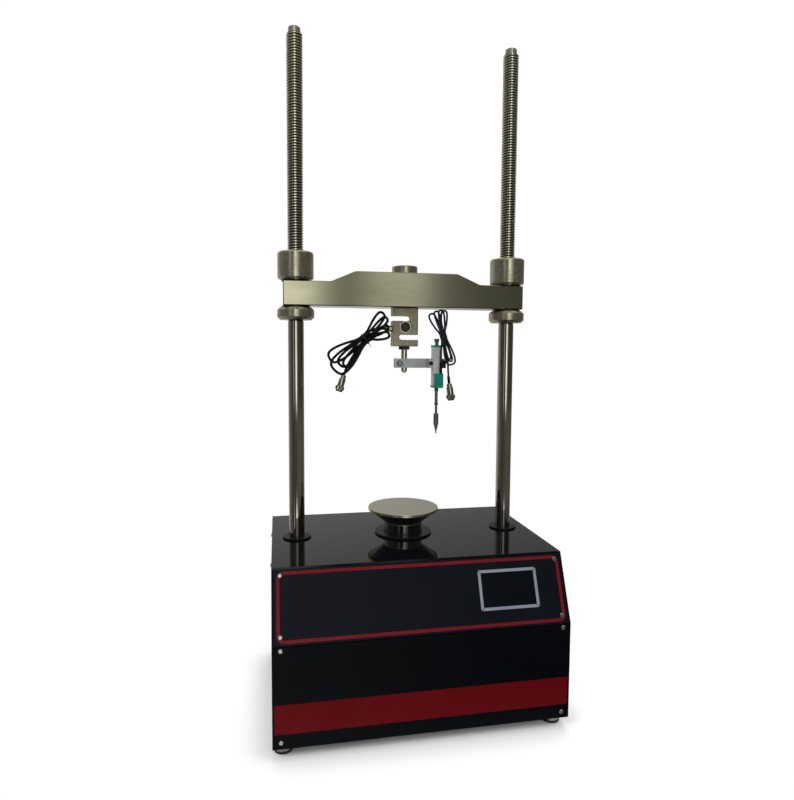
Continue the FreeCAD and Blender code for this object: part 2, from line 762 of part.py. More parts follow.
def rear_panel():
    y = (rear_face - d.panel_thick, rear_face)
    through = (rear_face - d.panel_thick - 1, rear_face + 1)
    sheet_metal = block("rear_sheet", ends_of(panel_reach), y, (base_top, cover_under))
    openings = [
        rod("rear_hole", screw_hole, x, through, z) for x in ends_of(screw_x) for z in rear_screw_rows
    ]
    inlet_z = (inlet_low - d.panel_gap, inlet_low + d.inlet_height + d.panel_gap)
    inlet_reach = d.inlet_width / 2 + d.panel_gap
    inlet_x = (inlet_middle - inlet_reach, inlet_middle + inlet_reach)
    openings.append(block("inlet_cut", inlet_x, through, inlet_z))
    socket_hole = d.socket_ring_dia / 2 + d.panel_gap
    openings += [rod("socket_cut", socket_hole, x, through, socket_z) for x in socket_xs]
    for side in (-1, 1):
        for number in range(int(float(d.vent_rows))):
            low = base_top + d.vent_low + number * d.vent_pitch
            middle = side * d.vent_offset
            vent_x = (middle - d.vent_length / 2, middle + d.vent_length / 2)
            openings.append(block("vent_cut", vent_x, through, (low, low + d.vent_height)))
    return cut("rear_panel", sheet_metal, *openings)


screen_right = half_width - d.screen_margin
screen_middle = slope_end / 2 + d.screen_lift
screen_x = (screen_right - d.screen_width, screen_right)
screen_y = (screen_middle - d.screen_height / 2, screen_middle + d.screen_height / 2)


def touch_screen():
    margin = d.screen_case_margin
    face = block("screen_face", screen_x, screen_y, (-d.panel_thick, as_size(0)))
    case_x = (screen_x[0] + margin, screen_x[1] - margin)
    case_y = (screen_y[0] + margin, screen_y[1] - margin)
    case = block("screen_case", case_x, case_y, (-d.panel_thick - d.screen_depth, -d.panel_thick))
    return tilt(joined("touch_screen", face, case))


def panel_screws():
    head = d.screw_head_dia / 2
    shank = d.screw_shank_dia / 2
    height = d.screw_head_height
    points = [
        (0, -d.screw_length),
        (shank, -d.screw_length),
        (shank, 0),
        (head, 0),
        (head, height * 0.35),
        (head * 0.7, height),
        (0, height),
    ]
    long_way = ends_of(d.recess_length / 2)
    short_way = ends_of(d.recess_width / 2)
    deep = (height - d.recess_depth, height + 1)
    master = cut(
        "screw_master",
        turned("screw_solid", points),
        block("recess_across", long_way, short_way, deep),
        block("recess_along", short_way, long_way, deep),
    )
    slope_turn = FreeCAD.Rotation(X, slope_angle)
    slope_frame = at(0, front, knee, slope_turn)
    to_front = FreeCAD.Rotation(X, 90)
    to_back = FreeCAD.Rotation(X, -90)
    placements = []
    for x in ends_of(screw_x):
        placements += [slope_frame.multiply(at(x, row, 0)) for row in slope_screw_rows]
        placements += [at(x, front, z, to_front) for z in front_screw_rows]
        placements += [at(x, rear_face, z, to_back) for z in rear_screw_rows]
    for side in (-1, 1):
        to_side = FreeCAD.Rotation(Y, 90 * side)
        placements += [at(side * half_width, y, side_screw_z, to_side) for y in side_screw_ys]
    return copies("panel_screws", master, placements)


# Feet
def levelling_foot(name, x, y):
    radius = d.foot_dia / 2
    stud = d.foot_stud_dia / 2
    disc = d.foot_disc_height
    points = [
        (0, 0),
        (radius - 0.8, 0),
        (radius, 0.8),
        (radius, d.foot_rubber),
        (radius - 1, d.foot_rubber + 0.5),
        (radius - 1.5, disc * 0.6),
        (radius * 0.6, disc * 0.88),
        (radius * 0.6, disc),
        (stud, disc),
        (stud, disc + d.foot_stud_length),
        (0, disc + d.foot_stud_length),
    ]
    return put(turned(name, points), x, y, 0)


def nut_copies(name, flats, bore, height, places):
    body = hexagon(name + "_hexagon", flats, 0, 0, (as_size(0), height))
    hole = rod(name + "_bore", bore, 0, 0, (as_size(-1), height + 1))
    return copies(name, cut(name + "_master", body, hole), places)


def foot_lock_nuts():
    bore = d.foot_stud_dia / 2 + d.foot_play
    places = [at(x, y, underside - d.foot_nut_height) for x in ends_of(foot_x) for y in foot_ys]
    return nut_copies("foot_lock_nuts", d.foot_nut_flats, bore, d.foot_nut_height, places)


# Columns
def column(name, x):
    radius = d.column_dia / 2
    anchor = d.anchor_dia / 2
    low = plate_under - d.anchor_nut_height - 4
    end = d.column_end_dia / 2
    summit = column_top + d.column_end_length
    points = [
        (0, low),
        (anchor - 1, low),
        (anchor, low + 1),
        (anchor, cover_under),
        (radius, cover_under),
        (radius, column_top - 1.5),
        (radius - 1.5, column_top),
        (end, column_top),
        (end, summit - 1),
        (end - 1, summit),
        (0, summit),
    ]
    return put(turned(name, points), x, axis_y, 0)


def column_collars():
    bore = d.column_dia / 2 + d.column_play
    outer = d.collar_dia / 2
    height = d.collar_height
    points = [(bore, 0), (outer, 0), (outer, height - 1), (outer - 1, height), (bore, height)]
    places = [at(x, axis_y, top) for x in ends_of(column_x)]
    return copies("column_collars", turned("collar_master", points), places)


def column_anchor_nuts():
    bore = d.anchor_dia / 2 + d.thread_fit
    low = plate_under - d.anchor_nut_height
    places = [at(x, axis_y, low) for x in ends_of(column_x)]
    return nut_copies("column_anchor_nuts", d.anchor_nut_flats, bore, d.anchor_nut_height, places)


# Ram and platen
ram_radius = d.ram_dia / 2
bush_outer = ram_radius + d.bush_wall
jack_spigot = bush_outer + 5
platen_low = top + d.ram_show
collar_high = drive_top + d.jack_floor + d.spindle_play + d.spindle_collar_thick
ram_low = collar_high + d.ram_nut_flange + d.ram_drop


def ram_collar():
    bore = ram_radius + d.ram_collar_play
    outer = d.ram_collar_dia / 2
    height = d.ram_collar_height
    points = [(bore, 0), (outer, 0), (outer, height - 1.5), (outer - 1.5, height), (bore, height)]
    return put(turned("ram_collar", points), 0, axis_y, top)


def guide_bush():
    bore = ram_radius + d.ram_fit
    length = d.bush_length
    points = [(bore, 0), (bush_outer, 0), (bush_outer, length), (bore, length)]
    return put(turned("guide_bush", points), 0, axis_y, cover_under - length)


def ram():
    bore = ram_radius - d.ram_wall
    length = platen_low - ram_low
    points = [
        (bore, 0),
        (ram_radius, 0),
        (ram_radius, length),
        (0, length),
        (0, length - d.ram_roof),
        (bore, length - d.ram_roof),
    ]
    return put(turned("ram", points), 0, axis_y, ram_low)


def platen():
    outer = d.platen_dia / 2
    rim = d.platen_height - d.platen_rim
    points = [
        (0, 0),
        (ram_radius, 0),
        (ram_radius, 2),
        (outer - 3, rim),
        (outer, rim),
        (outer, d.platen_height - 0.8),
        (outer - 0.8, d.platen_height),
        (0, d.platen_height),
    ]
    return put(turned("platen", points), 0, axis_y, platen_low)


def ram_nut():
    bore = d.spindle_dia / 2 + d.spindle_play
    barrel = ram_radius - d.ram_wall - d.jack_play
    flange = d.ram_nut_flange
    points = [
        (bore, -flange),
        (ram_radius - 1, -flange),
        (ram_radius, 1 - flange),
        (ram_radius, 0),
        (barrel, 0),
        (barrel, d.ram_nut_length - flange),
        (bore, d.ram_nut_length - flange),
    ]
    return put(turned("ram_nut", points), 0, axis_y, ram_low)


# Jack and drive
jack_barrel = d.jack_barrel_dia / 2


def jack_housing():
    journal = d.spindle_journal_dia / 2 + d.spindle_play
    flange = d.jack_flange_dia / 2
    foot = d.jack_foot_dia / 2
    seat = cover_under - d.bush_length
    chamber = ram_radius + 2
    points = [
        (journal, drive_top),
        (foot, drive_top),
        (foot, drive_top + d.jack_foot_thick),
        (jack_barrel, drive_top + d.jack_foot_thick + 4),
        (jack_barrel, plate_under - d.jack_flange_thick - 6),
        (flange, plate_under - d.jack_flange_thick),
        (flange, plate_under),
        (jack_spigot, plate_under),
        (jack_spigot, cover_under),
        (bush_outer + d.thread_fit, cover_under),
        (bush_outer + d.thread_fit, seat),
        (chamber, seat),
        (chamber, drive_top + d.jack_floor),
        (journal, drive_top + d.jack_floor),
    ]
    return put(turned("jack_housing", points), 0, axis_y, 0)


def lead_screw():
    tail = d.spindle_tail_dia / 2
    journal = d.spindle_journal_dia / 2
    collar = d.spindle_collar_dia / 2
    shaft = d.spindle_dia / 2
    collar_low = collar_high - d.spindle_collar_thick
    tip = collar_high + d.spindle_length
    points = [
        (0, pulley_low - 2),
        (tail - 1, pulley_low - 2),
        (tail, pulley_low - 1),
        (tail, pulley_top + 2),
        (journal, pulley_top + 2),
        (journal, collar_low),
        (collar, collar_low),
        (collar, collar_high),
        (shaft, collar_high),
        (shaft, tip - 2),
        (shaft - 2, tip),
        (0, tip),
    ]
    return put(turned("lead_screw", points), 0, axis_y, 0)


def pitch_radius(teeth):
    return teeth * d.tooth_pitch / (2 * math.pi)


def grooved(name, wheel, teeth, x):
    """Cuts the belt grooves of a pulley, each a trapezoid, all round its rim."""
    doc.recompute()
    crest = float(pitch_radius(teeth))
    root = crest - float(d.tooth_depth)
    pitch = float(d.tooth_pitch)
    low = float(pulley_low) - 1
    mouth = pitch * 0.3
    bottom = pitch * 0.2
    corners = [(root, -bottom), (root, bottom), (crest + 1, mouth), (crest + 1, -mouth)]
    points = [FreeCAD.Vector(u, v, low) for u, v in corners]
    face = Part.Face(Part.makePolygon(points + points[:1]))
    groove = face.extrude(FreeCAD.Vector(0, 0, float(d.pulley_height) + 2))
    count = int(round(float(teeth)))
    grooves = []
    for number in range(count):
        turn = FreeCAD.Rotation(Z, 360 * number / count)
        grooves.append(groove.copy())
        grooves[-1].Placement = at(0, 0, 0, turn)
    feature = doc.addObject("Part::Feature", name)
    shape = wheel.Shape.copy()
    shape.Placement = FreeCAD.Placement()
    shape = shape.cut(Part.makeCompound(grooves))
    feature.Shape = shape.Solids[0] if len(shape.Solids) == 1 else shape
    return put(feature, x, axis_y, 0)


def jack_pulley():
    crest = pitch_radius(d.jack_teeth)
    bore = d.spindle_tail_dia / 2 + d.thread_fit
    rim = crest - 8
    hub = bore + 10
    web = d.pulley_height / 2 - 5
    points = [
        (bore, pulley_low),
        (hub, pulley_low),
        (hub, pulley_low + web),
        (rim, pulley_low + web),
        (rim, pulley_low),
        (crest, pulley_low),
        (crest, pulley_top),
        (rim, pulley_top),
        (rim, pulley_top - web),
        (hub, pulley_top - web),
        (hub, pulley_top),
        (bore, pulley_top),
    ]
    return grooved("jack_pulley", turned("jack_wheel", points), d.jack_teeth, 0)


def motor_pulley():
    crest = pitch_radius(d.motor_teeth)
    shaft = d.motor_shaft_dia / 2
    high = drive_top + d.motor_shaft_in
    points = [
        (0, pulley_low),
        (crest, pulley_low),
        (crest, pulley_top),
        (shaft, pulley_top),
        (shaft, high),
        (0, high),
    ]
    return grooved("motor_pulley", turned("motor_wheel", points), d.motor_teeth, d.motor_offset)


def stadium(left_radius, right_radius, distance):
    """The outline of a belt laid round two circles, as a wire in the XY plane."""
    lean = math.asin((left_radius - right_radius) / distance)
    direction = FreeCAD.Vector(math.sin(lean), math.cos(lean), 0)
    mirrored = FreeCAD.Vector(direction.x, -direction.y, 0)
    right = FreeCAD.Vector(distance, 0, 0)
    left_high = direction * left_radius
    left_low = mirrored * left_radius
    right_high = right + direction * right_radius
    right_low = right + mirrored * right_radius
    far_left = FreeCAD.Vector(-left_radius, 0, 0)
    far_right = FreeCAD.Vector(distance + right_radius, 0, 0)
    edges = [
        Part.LineSegment(left_high, right_high).toShape(),
        Part.Arc(right_high, far_right, right_low).toShape(),
        Part.LineSegment(right_low, left_low).toShape(),
        Part.Arc(left_low, far_left, left_high).toShape(),
    ]
    return Part.Wire(edges)


def timing_belt():
    feature = doc.addObject("Part::Feature", "timing_belt")
    distance = float(d.motor_offset)
    play = float(d.belt_play)
    thick = float(d.belt_thick)
    radii = [float(pitch_radius(teeth)) + play for teeth in (d.jack_teeth, d.motor_teeth)]
    outer = Part.Face(stadium(radii[0] + thick, radii[1] + thick, distance))
    inner = Part.Face(stadium(radii[0], radii[1], distance))
    band = outer.extrude(Z * float(d.belt_width))
    band = band.cut(inner.extrude(Z * float(d.belt_width)))
    feature.Shape = band.Solids[0]
    return put(feature, 0, axis_y, (pulley_low + pulley_top - d.belt_width) / 2)


def drive_plate():
    reach = d.drive_plate_width / 2
    y = (axis_y - reach, axis_y + reach)
    x = (-reach - 8, d.motor_offset + reach)
    slab = block("drive_slab", x, y, (drive_under, drive_top))
    through = (drive_under - 1, drive_top + 1)
    bearing = rod("drive_bearing_hole", d.spindle_journal_dia / 2 + d.spindle_play, 0, axis_y, through)
    shaft_hole = d.motor_shaft_dia / 2 + d.motor_shaft_play
    shaft = rod("drive_shaft_hole", shaft_hole, d.motor_offset, axis_y, through)
    return cut("drive_plate", slab, bearing, shaft)


def drive_motor():
    reach = d.motor_size / 2
    points = [(-reach, -reach), (reach, -reach), (reach, reach), (-reach, reach)]
    body = extruded("motor_case", "XY_Plane", points, d.motor_length)
    dressed(body, "Fillet", d.motor_corner, lambda edge: straight_along(edge, Z))
    put(body, d.motor_offset, axis_y, drive_top + d.motor_length / 2)
    bore = d.motor_shaft_dia / 2 + d.motor_shaft_play
    high = drive_top + d.motor_shaft_in + d.motor_shaft_play
    hole = rod("motor_bore", bore, d.motor_offset, axis_y, (drive_top - 1, high))
    return cut("drive_motor", body, hole)


def power_supply():
    left = -(inner_side - d.inner_margin)
    x = (left, left + d.supply_length)
    y = (axis_y - 20, axis_y - 20 + d.supply_width)
    case = block("supply_case", x, y, (base_top, base_top + d.supply_height))
    terminals = block("supply_terminals", (x[1], x[1] + 9), (y[0] + 8, y[1] - 8), (base_top, base_top + 14))
    return joined("power_supply", case, terminals)


def control_board():
    left = -(inner_side - d.inner_margin)
    x = (left, left + d.board_length)
    y = (axis_y - 40 - d.board_width, axis_y - 40)
    low = base_top + d.board_standoff
    high = low + d.board_thick
    pieces = [block("board_sheet", x, y, (low, high))]
    for corner_x in (x[0] + 5, x[1] - 5):
        for corner_y in (y[0] + 5, y[1] - 5):
            pieces.append(rod("board_standoff", 3, corner_x, corner_y, (base_top, low)))
    for number, width in enumerate((26, 18, 34)):
        start = x[0] + 14 + 40 * number
        pieces.append(block("board_part", (start, start + width), (y[0] + 20, y[1] - 24), (high, high + 12)))
    return joined("control_board", *pieces)


# Rear connections
inlet_low = base_top + d.inlet_rise
rocker_z = inlet_low + d.rocker_rise
socket_xs = (-d.socket_first, d.socket_pitch - d.socket_first)
socket_z = base_top + d.socket_rise


def power_inlet():
    reach = d.inlet_width / 2
    lip = reach + d.inlet_lip
    x0 = inlet_middle
    face = rear_face + d.inlet_lip_thick
    body_z = (inlet_low, inlet_low + d.inlet_height)
    body_y = (rear_face - d.inlet_depth, rear_face)
    body = block("inlet_body", (x0 - reach, x0 + reach), body_y, body_z)
    flange_z = (body_z[0] - d.inlet_lip, body_z[1] + d.inlet_lip)
    flange = block("inlet_flange", (x0 - lip, x0 + lip), (rear_face, face), flange_z)
    mouth_z = inlet_low + d.inlet_mouth_rise
    mouth_half = (d.inlet_mouth_width / 2, d.inlet_mouth_height / 2)
    floor = face - d.inlet_mouth_depth
    mouth = block(
        "inlet_mouth",
        (x0 - mouth_half[0], x0 + mouth_half[0]),
        (floor, face + 1),
        (mouth_z - mouth_half[1], mouth_z + mouth_half[1]),
    )
    well_half = (d.rocker_width / 2 + d.rocker_play, d.rocker_height / 2 + d.rocker_play)
    well = block(
        "rocker_well",
        (x0 - well_half[0], x0 + well_half[0]),
        (face - d.rocker_well, face + 1),
        (rocker_z - well_half[1], rocker_z + well_half[1]),
    )
    shell = cut("inlet_shell", joined("inlet_solid", body, flange), mouth, well)
    pin_half = (d.inlet_pin_width / 2, d.inlet_pin_height / 2)
    pins = []
    for number in (-1, 0, 1):
        pin_x = x0 + number * d.inlet_pin_pitch
        pin_z = mouth_z + (2 if number == 0 else -1.5)
        pins.append(
            block(
                "inlet_pin",
                (pin_x - pin_half[0], pin_x + pin_half[0]),
                (floor - 0.5, floor + d.inlet_pin_length),
                (pin_z - pin_half[1], pin_z + pin_half[1]),
            )
        )
    return joined("power_inlet", shell, *pins)


def power_rocker():
    reach = d.rocker_height / 2
    points = [
        (3.5, -reach),
        (2.4, 0),
        (3.5, reach),
        (-1.5, reach),
        (-5, 2.5),
        (-5, -2.5),
        (-1.5, -reach),
    ]
    body = extruded("power_rocker", "YZ_Plane", points, d.rocker_width)
    turn = FreeCAD.Rotation(X, -float(d.rocker_tilt))
    body.Placement = FreeCAD.Placement(FreeCAD.Vector(), turn)
    return put(body, inlet_middle, rocker_y, rocker_z)


rocker_y = rear_face + d.inlet_lip_thick - 2.4


def signal_sockets():
    flange = d.socket_flange_dia / 2
    ring = d.socket_ring_dia / 2
    insulator = d.socket_face_dia / 2
    length = d.socket_ring_length + d.socket_flange_thick
    points = [
        (0, -d.socket_tail_length),
        (ring - 0.3, -d.socket_tail_length),
        (ring - 0.3, 0),
        (flange, 0),
        (flange, d.socket_flange_thick),
        (ring, d.socket_flange_thick),
        (ring, length - 0.6),
        (ring - 0.6, length),
        (insulator, length),
        (insulator, length - d.socket_face_recess),
        (0, length - d.socket_face_recess),
    ]
    to_back = FreeCAD.Rotation(X, -90)
    places = [at(x, rear_face, socket_z, to_back) for x in socket_xs]
    return copies("signal_sockets", turned("socket_master", points), places)


# Crosshead and column nuts
def crosshead():
    reach = d.crosshead_length / 2
    shoulder = d.crosshead_shoulder / 2
    plateau = d.crosshead_plateau / 2
    points = [
        (-reach, 0),
        (reach, 0),
        (reach, d.crosshead_end),
        (shoulder, d.crosshead_end),
        (plateau, d.crosshead_middle),
        (-plateau, d.crosshead_middle),
        (-shoulder, d.crosshead_end),
        (-reach, d.crosshead_end),
    ]
    beam = extruded("crosshead_beam", "XZ_Plane", points, d.crosshead_thick)
    bends = (float(shoulder), float(plateau))

    def at_bend(edge):
        across = straight_along(edge, Y)
        return across and any(abs(abs(edge.Vertexes[0].X) - bend) < 0.01 for bend in bends)

    dressed(beam, "Fillet", d.crosshead_bend, at_bend)
    face = float(d.crosshead_thick) / 2

    def on_face(edge):
        return all(abs(abs(vertex.Y) - face) < 0.01 for vertex in edge.Vertexes) and not (
            straight_along(edge, Y)
        )

    dressed(beam, "Chamfer", d.crosshead_edge, on_face)
    put(beam, 0, axis_y, crosshead_under)
    through = (crosshead_under - 1, crosshead_under + d.crosshead_middle + 1)
    holes = [
        rod("crosshead_bore", d.column_dia / 2 + d.column_play, x, axis_y, through)
        for x in ends_of(column_x)
    ]
    holes.append(rod("crosshead_bolt_bore", d.bolt_dia / 2 + d.bolt_play, 0, axis_y, through))
    return cut("crosshead", beam, *holes)


def upper_nut(name, x):
    bore = d.column_dia / 2 + d.column_play
    neck = d.nut_neck_dia / 2
    outer = d.upper_nut_dia / 2
    low = d.upper_nut_neck
    high = low + d.upper_nut_height
    points = [
        (bore, 0),
        (neck, 0),
        (neck, low),
        (outer - d.upper_nut_chamfer, low),
        (outer, low + d.upper_nut_chamfer),
        (outer, high),
        (bore + 1.5, high),
        (bore, high - 1.5),
    ]
    nut = turned(name, points, [(outer, high, d.upper_nut_round)])
    return put(nut, x, axis_y, crosshead_under + d.crosshead_end + d.nut_play)


def lower_nut(name, x):
    bore = d.column_dia / 2 + d.column_play
    neck = d.nut_neck_dia / 2
    outer = d.lower_nut_dia / 2
    chamfer = d.lower_nut_chamfer
    high = -d.lower_nut_neck
    low = high - d.lower_nut_height
    points = [
        (bore, 0),
        (bore, low),
        (outer - chamfer, low),
        (outer, low + chamfer),
        (outer, high - chamfer),
        (outer - chamfer, high),
        (neck, high),
        (neck, 0),
    ]
    return put(turned(name, points), x, axis_y, crosshead_under - d.nut_play)


def centre_bolt():
    head = d.bolt_head_dia / 2
    shank = d.bolt_dia / 2
    chamfer = d.bolt_head_chamfer
    high = d.bolt_head_height
    tip = -(d.crosshead_middle + d.bolt_reach)
    points = [
        (0, tip),
        (shank - 1, tip),
        (shank, tip + 1),
        (shank, 0),
        (head, 0),
        (head, high - chamfer),
        (head - chamfer, high),
        (0, high),
    ]
    return put(turned("centre_bolt", points), 0, axis_y, crosshead_under + d.crosshead_middle)


# Load cell
def load_cell():
    reach = d.cell_width / 2
    depth = d.cell_thick / 2
    points = [(-reach, 0), (reach, 0), (reach, d.cell_height), (-reach, d.cell_height)]
    body = extruded("cell_body", "XZ_Plane", points, d.cell_thick)
    dressed(body, "Chamfer", d.cell_edge, lambda edge: True)
    put(body, 0, axis_y, cell_bottom)
    y = (axis_y - depth - 1, axis_y + depth + 1)
    end = d.cell_slot_end - d.cell_slot / 2
    high = cell_top - d.cell_slot_top - d.cell_slot / 2
    low = cell_bottom + d.cell_slot_bottom + d.cell_slot / 2
    tools = []
    for side, middle in ((-1, high), (1, low)):
        tip = -side * end
        x = (as_size(-reach - 1), tip) if side < 0 else (tip, reach + 1)
        z = (middle - d.cell_slot / 2, middle + d.cell_slot / 2)
        tools.append(block("cell_slot_cut", x, y, z))
        tools.append(rod("cell_slot_round", d.cell_slot / 2, tip, y, middle))
        drill = tip + side * (d.cell_slot + 1)
        tools.append(rod("cell_slot_drill", d.cell_relief_dia / 2, drill, y, middle))
    centre = cell_bottom + d.cell_recess_rise
    for face_y in (
        (axis_y - depth - 1, axis_y - depth + d.cell_recess_depth),
        (axis_y + depth - d.cell_recess_depth, axis_y + depth + 1),
    ):
        tools.append(rod("cell_recess", d.cell_recess_dia / 2, 0, face_y, centre))
    for face_y in (
        (axis_y - depth - 1, axis_y - depth + d.cell_recess_rim),
        (axis_y + depth - d.cell_recess_rim, axis_y + depth + 1),
    ):
        tools.append(rod("cell_recess_step", d.cell_recess_rim_dia / 2, 0, face_y, centre))
    bolt_z = (cell_top - d.bolt_reach - 1, cell_top + 1)
    tools.append(rod("cell_bolt_hole", d.bolt_dia / 2 + d.thread_fit, 0, axis_y, bolt_z))
    stud_z = (cell_bottom - 1, cell_bottom + d.cell_slot_bottom + 1)
    tools.append(rod("cell_stud_hole", d.stud_dia / 2 + d.thread_fit, 0, axis_y, stud_z))
    gland_x = (-reach - 1, -reach + d.gland_thread_length + 0.5)
    gland_hole = d.gland_thread_dia / 2 + d.thread_fit
    tools.append(rod("cell_gland_hole", gland_hole, gland_x, axis_y, gland_z))
    return cut("load_cell", body, *tools)


gland_z = cell_bottom + d.gland_rise
gland_end = -(d.cell_width / 2 + d.gland_length)


def load_cell_gland():
    outer = d.gland_dia / 2
    thread = d.gland_thread_dia / 2
    length = d.gland_length
    points = [
        (0, -d.gland_thread_length),
        (thread, -d.gland_thread_length),
        (thread, 0),
        (outer, 0),
        (outer, length * 0.4),
        (outer - 1, length * 0.4),
        (outer - 1, length * 0.8),
        (outer - 2.6, length),
        (0, length),
    ]
    gland = turned("load_cell_gland", points)
    gland.Placement = FreeCAD.Placement(FreeCAD.Vector(), FreeCAD.Rotation(Y, -90))
    return put(gland, -d.cell_width / 2, axis_y, gland_z)


def loading_stud():
    radius = d.stud_dia / 2
    shaft = rod("stud_shaft", radius, 0, axis_y, (stud_tip + radius, cell_bottom + d.stud_in_cell))
    ball = doc.addObject("Part::Sphere", "stud_ball")
    bind(ball, Radius=radius)
    put(ball, 0, axis_y, stud_tip + radius)
    return joined("loading_stud", shaft, ball)


def stud_lock_nut():
    z = (cell_bottom - d.stud_nut_height, cell_bottom)
    body = hexagon("stud_nut_hexagon", d.stud_nut_flats, 0, axis_y, z)
    bore = rod("stud_nut_bore", d.stud_dia / 2 + d.thread_fit, 0, axis_y, (z[0] - 1, z[1] + 1))
    return cut("stud_lock_nut", body, bore)


# Bracket
jaw_left = (
    probe_x - d.probe_size / 2 - d.probe_play - d.jaw_width,
    probe_x - d.probe_size / 2 - d.probe_play,
)
jaw_right = (
    probe_x + d.probe_size / 2 + d.probe_play,
    probe_x + d.probe_size / 2 + d.probe_play + d.jaw_width,
)
jaw_middle = (jaw_left[0] + jaw_left[1]) / 2
bar_back = bar_front + d.bar_thick


def bracket_bar():
    bar = block("bar_solid", (-d.bar_left, d.bar_right), (bar_front, bar_back), (bar_low, bar_high))
    jaw = block("bar_jaw", jaw_left, (probe_front, bar_front), (bar_low, bar_high))
    whole = joined("bar_joined", bar, jaw)
    through = (bar_low - 1, bar_high + 1)
    bore = rod("bar_bore", d.stud_dia / 2 + d.bar_bore_play, 0, axis_y, through)
    slit_y = (axis_y - d.bar_slit / 2, axis_y + d.bar_slit / 2)
    slit = block("bar_slit_cut", (-d.bar_left - 1, as_size(0)), slit_y, through)
    screw_radius = d.pinch_dia / 2 + d.screw_play
    pinch = rod("bar_pinch_hole", screw_radius, -d.pinch_offset, (bar_front - 1, bar_back - 2), bar_middle)
    head = rod(
        "bar_jaw_seat",
        d.jaw_head_dia / 2 + d.screw_play,
        jaw_middle,
        (probe_front - 1, probe_front + d.jaw_head_height),
        bar_middle,
    )
    shank = rod("bar_jaw_hole", screw_radius, jaw_middle, (probe_front, bar_front + 8), bar_middle)
    return cut("bracket_bar", whole, bore, slit, pinch, head, shank)


def clamp_block():
    y = (bar_front - d.black_jaw_depth, bar_front)
    z = (bar_low - 0.5, bar_low - 0.5 + d.black_jaw_height)
    return block("clamp_block", jaw_right, y, z)


def bracket_screws():
    radius = d.pinch_dia / 2
    pinch_head = rod(
        "pinch_head",
        d.pinch_head_dia / 2,
        -d.pinch_offset,
        (bar_front - d.pinch_head_height, bar_front),
        bar_middle,
    )
    pinch_shank = rod("pinch_shank", radius, -d.pinch_offset, (bar_front, bar_back - 3), bar_middle)
    slot_y = (bar_front - d.pinch_head_height - 1, bar_front - d.pinch_head_height / 2)
    slot_x = (-d.pinch_offset - d.pinch_head_dia, -d.pinch_offset + d.pinch_head_dia)
    slot_z = (bar_middle - d.recess_width / 2, bar_middle + d.recess_width / 2)
    slot = block("pinch_slot", slot_x, slot_y, slot_z)
    jaw_y = probe_front + d.jaw_head_height
    jaw_head = rod("jaw_head", d.jaw_head_dia / 2, jaw_middle, (probe_front, jaw_y), bar_middle)
    jaw_shank = rod("jaw_shank", radius, jaw_middle, (jaw_y, bar_front + 7), bar_middle)
    socket_y = (probe_front - 1, probe_front + d.jaw_socket_depth)
    socket = hexagon("jaw_socket", d.jaw_socket_flats, jaw_middle, socket_y, bar_middle)
    return group(
        "bracket_screws",
        cut("pinch_screw", joined("pinch_solid", pinch_head, pinch_shank), slot),
        cut("jaw_screw", joined("jaw_solid", jaw_head, jaw_shank), socket),
    )


# Transducer
rod_bore = d.probe_rod_dia / 2 + d.probe_rod_play
bush_bore = d.plunger_rod_dia / 2 + d.probe_rod_play


def transducer_body():
    reach = d.probe_size / 2
    points = [(-reach, -reach), (reach, -reach), (reach, reach), (-reach, reach)]
    body = extruded("probe_case", "XY_Plane", points, d.probe_length)
    dressed(body, "Fillet", d.probe_corner, lambda edge: straight_along(edge, Z))
    put(body, probe_x, probe_y, probe_bottom + d.probe_length / 2)
    bore = rod("probe_bore", rod_bore, probe_x, probe_y, (probe_bottom - 1, probe_top + 1))
    wide_z = (probe_bottom - 1, probe_bottom + d.probe_counterbore)
    wide = rod("probe_wide_bore", bush_bore, probe_x, probe_y, wide_z)
    return cut("transducer_body", body, bore, wide)


def transducer_caps():
    reach = d.probe_size / 2 + d.probe_cap_proud
    x = (probe_x - reach, probe_x + reach)
    y = (probe_y - reach, probe_y + reach)
    boss_top = probe_top + d.probe_cap + d.probe_boss_height
    top_cap = joined(
        "probe_top_solid",
        block("probe_top_plate", x, y, (probe_top, probe_top + d.probe_cap)),
        rod("probe_boss", d.probe_boss_dia / 2, probe_x, probe_y, (probe_top, boss_top)),
    )
    hole = rod("probe_top_hole", rod_bore, probe_x, probe_y, (probe_top - 1, boss_top + 1))
    block_x = (probe_x + reach - d.probe_block_width, probe_x + reach)
    block_y = (probe_front - d.probe_block_depth, probe_front)
    bush_low = block_low - d.probe_bush_length
    foot = joined(
        "probe_foot_solid",
        block("probe_foot_plate", x, y, (block_low, probe_bottom)),
        block("probe_block", block_x, block_y, (block_low, block_high)),
        rod("probe_bush", d.probe_bush_dia / 2, probe_x, probe_y, (bush_low, block_low)),
    )
    lower_hole = rod("probe_foot_hole", bush_bore, probe_x, probe_y, (bush_low - 1, probe_bottom + 1))
    return group(
        "transducer_caps",
        cut("probe_top_cap", top_cap, hole),
        cut("probe_foot_cap", foot, lower_hole),
    )


sleeve_x = probe_x + d.sleeve_offset
sleeve_y = probe_front - d.probe_block_depth / 2
sleeve_top = block_high + d.sleeve_length


def cable_sleeve():
    cone = doc.addObject("Part::Cone", "cable_sleeve")
    bind(cone, Radius1=d.sleeve_low_dia / 2, Radius2=d.sleeve_high_dia / 2, Height=d.sleeve_length)
    return put(cone, sleeve_x, sleeve_y, block_high)


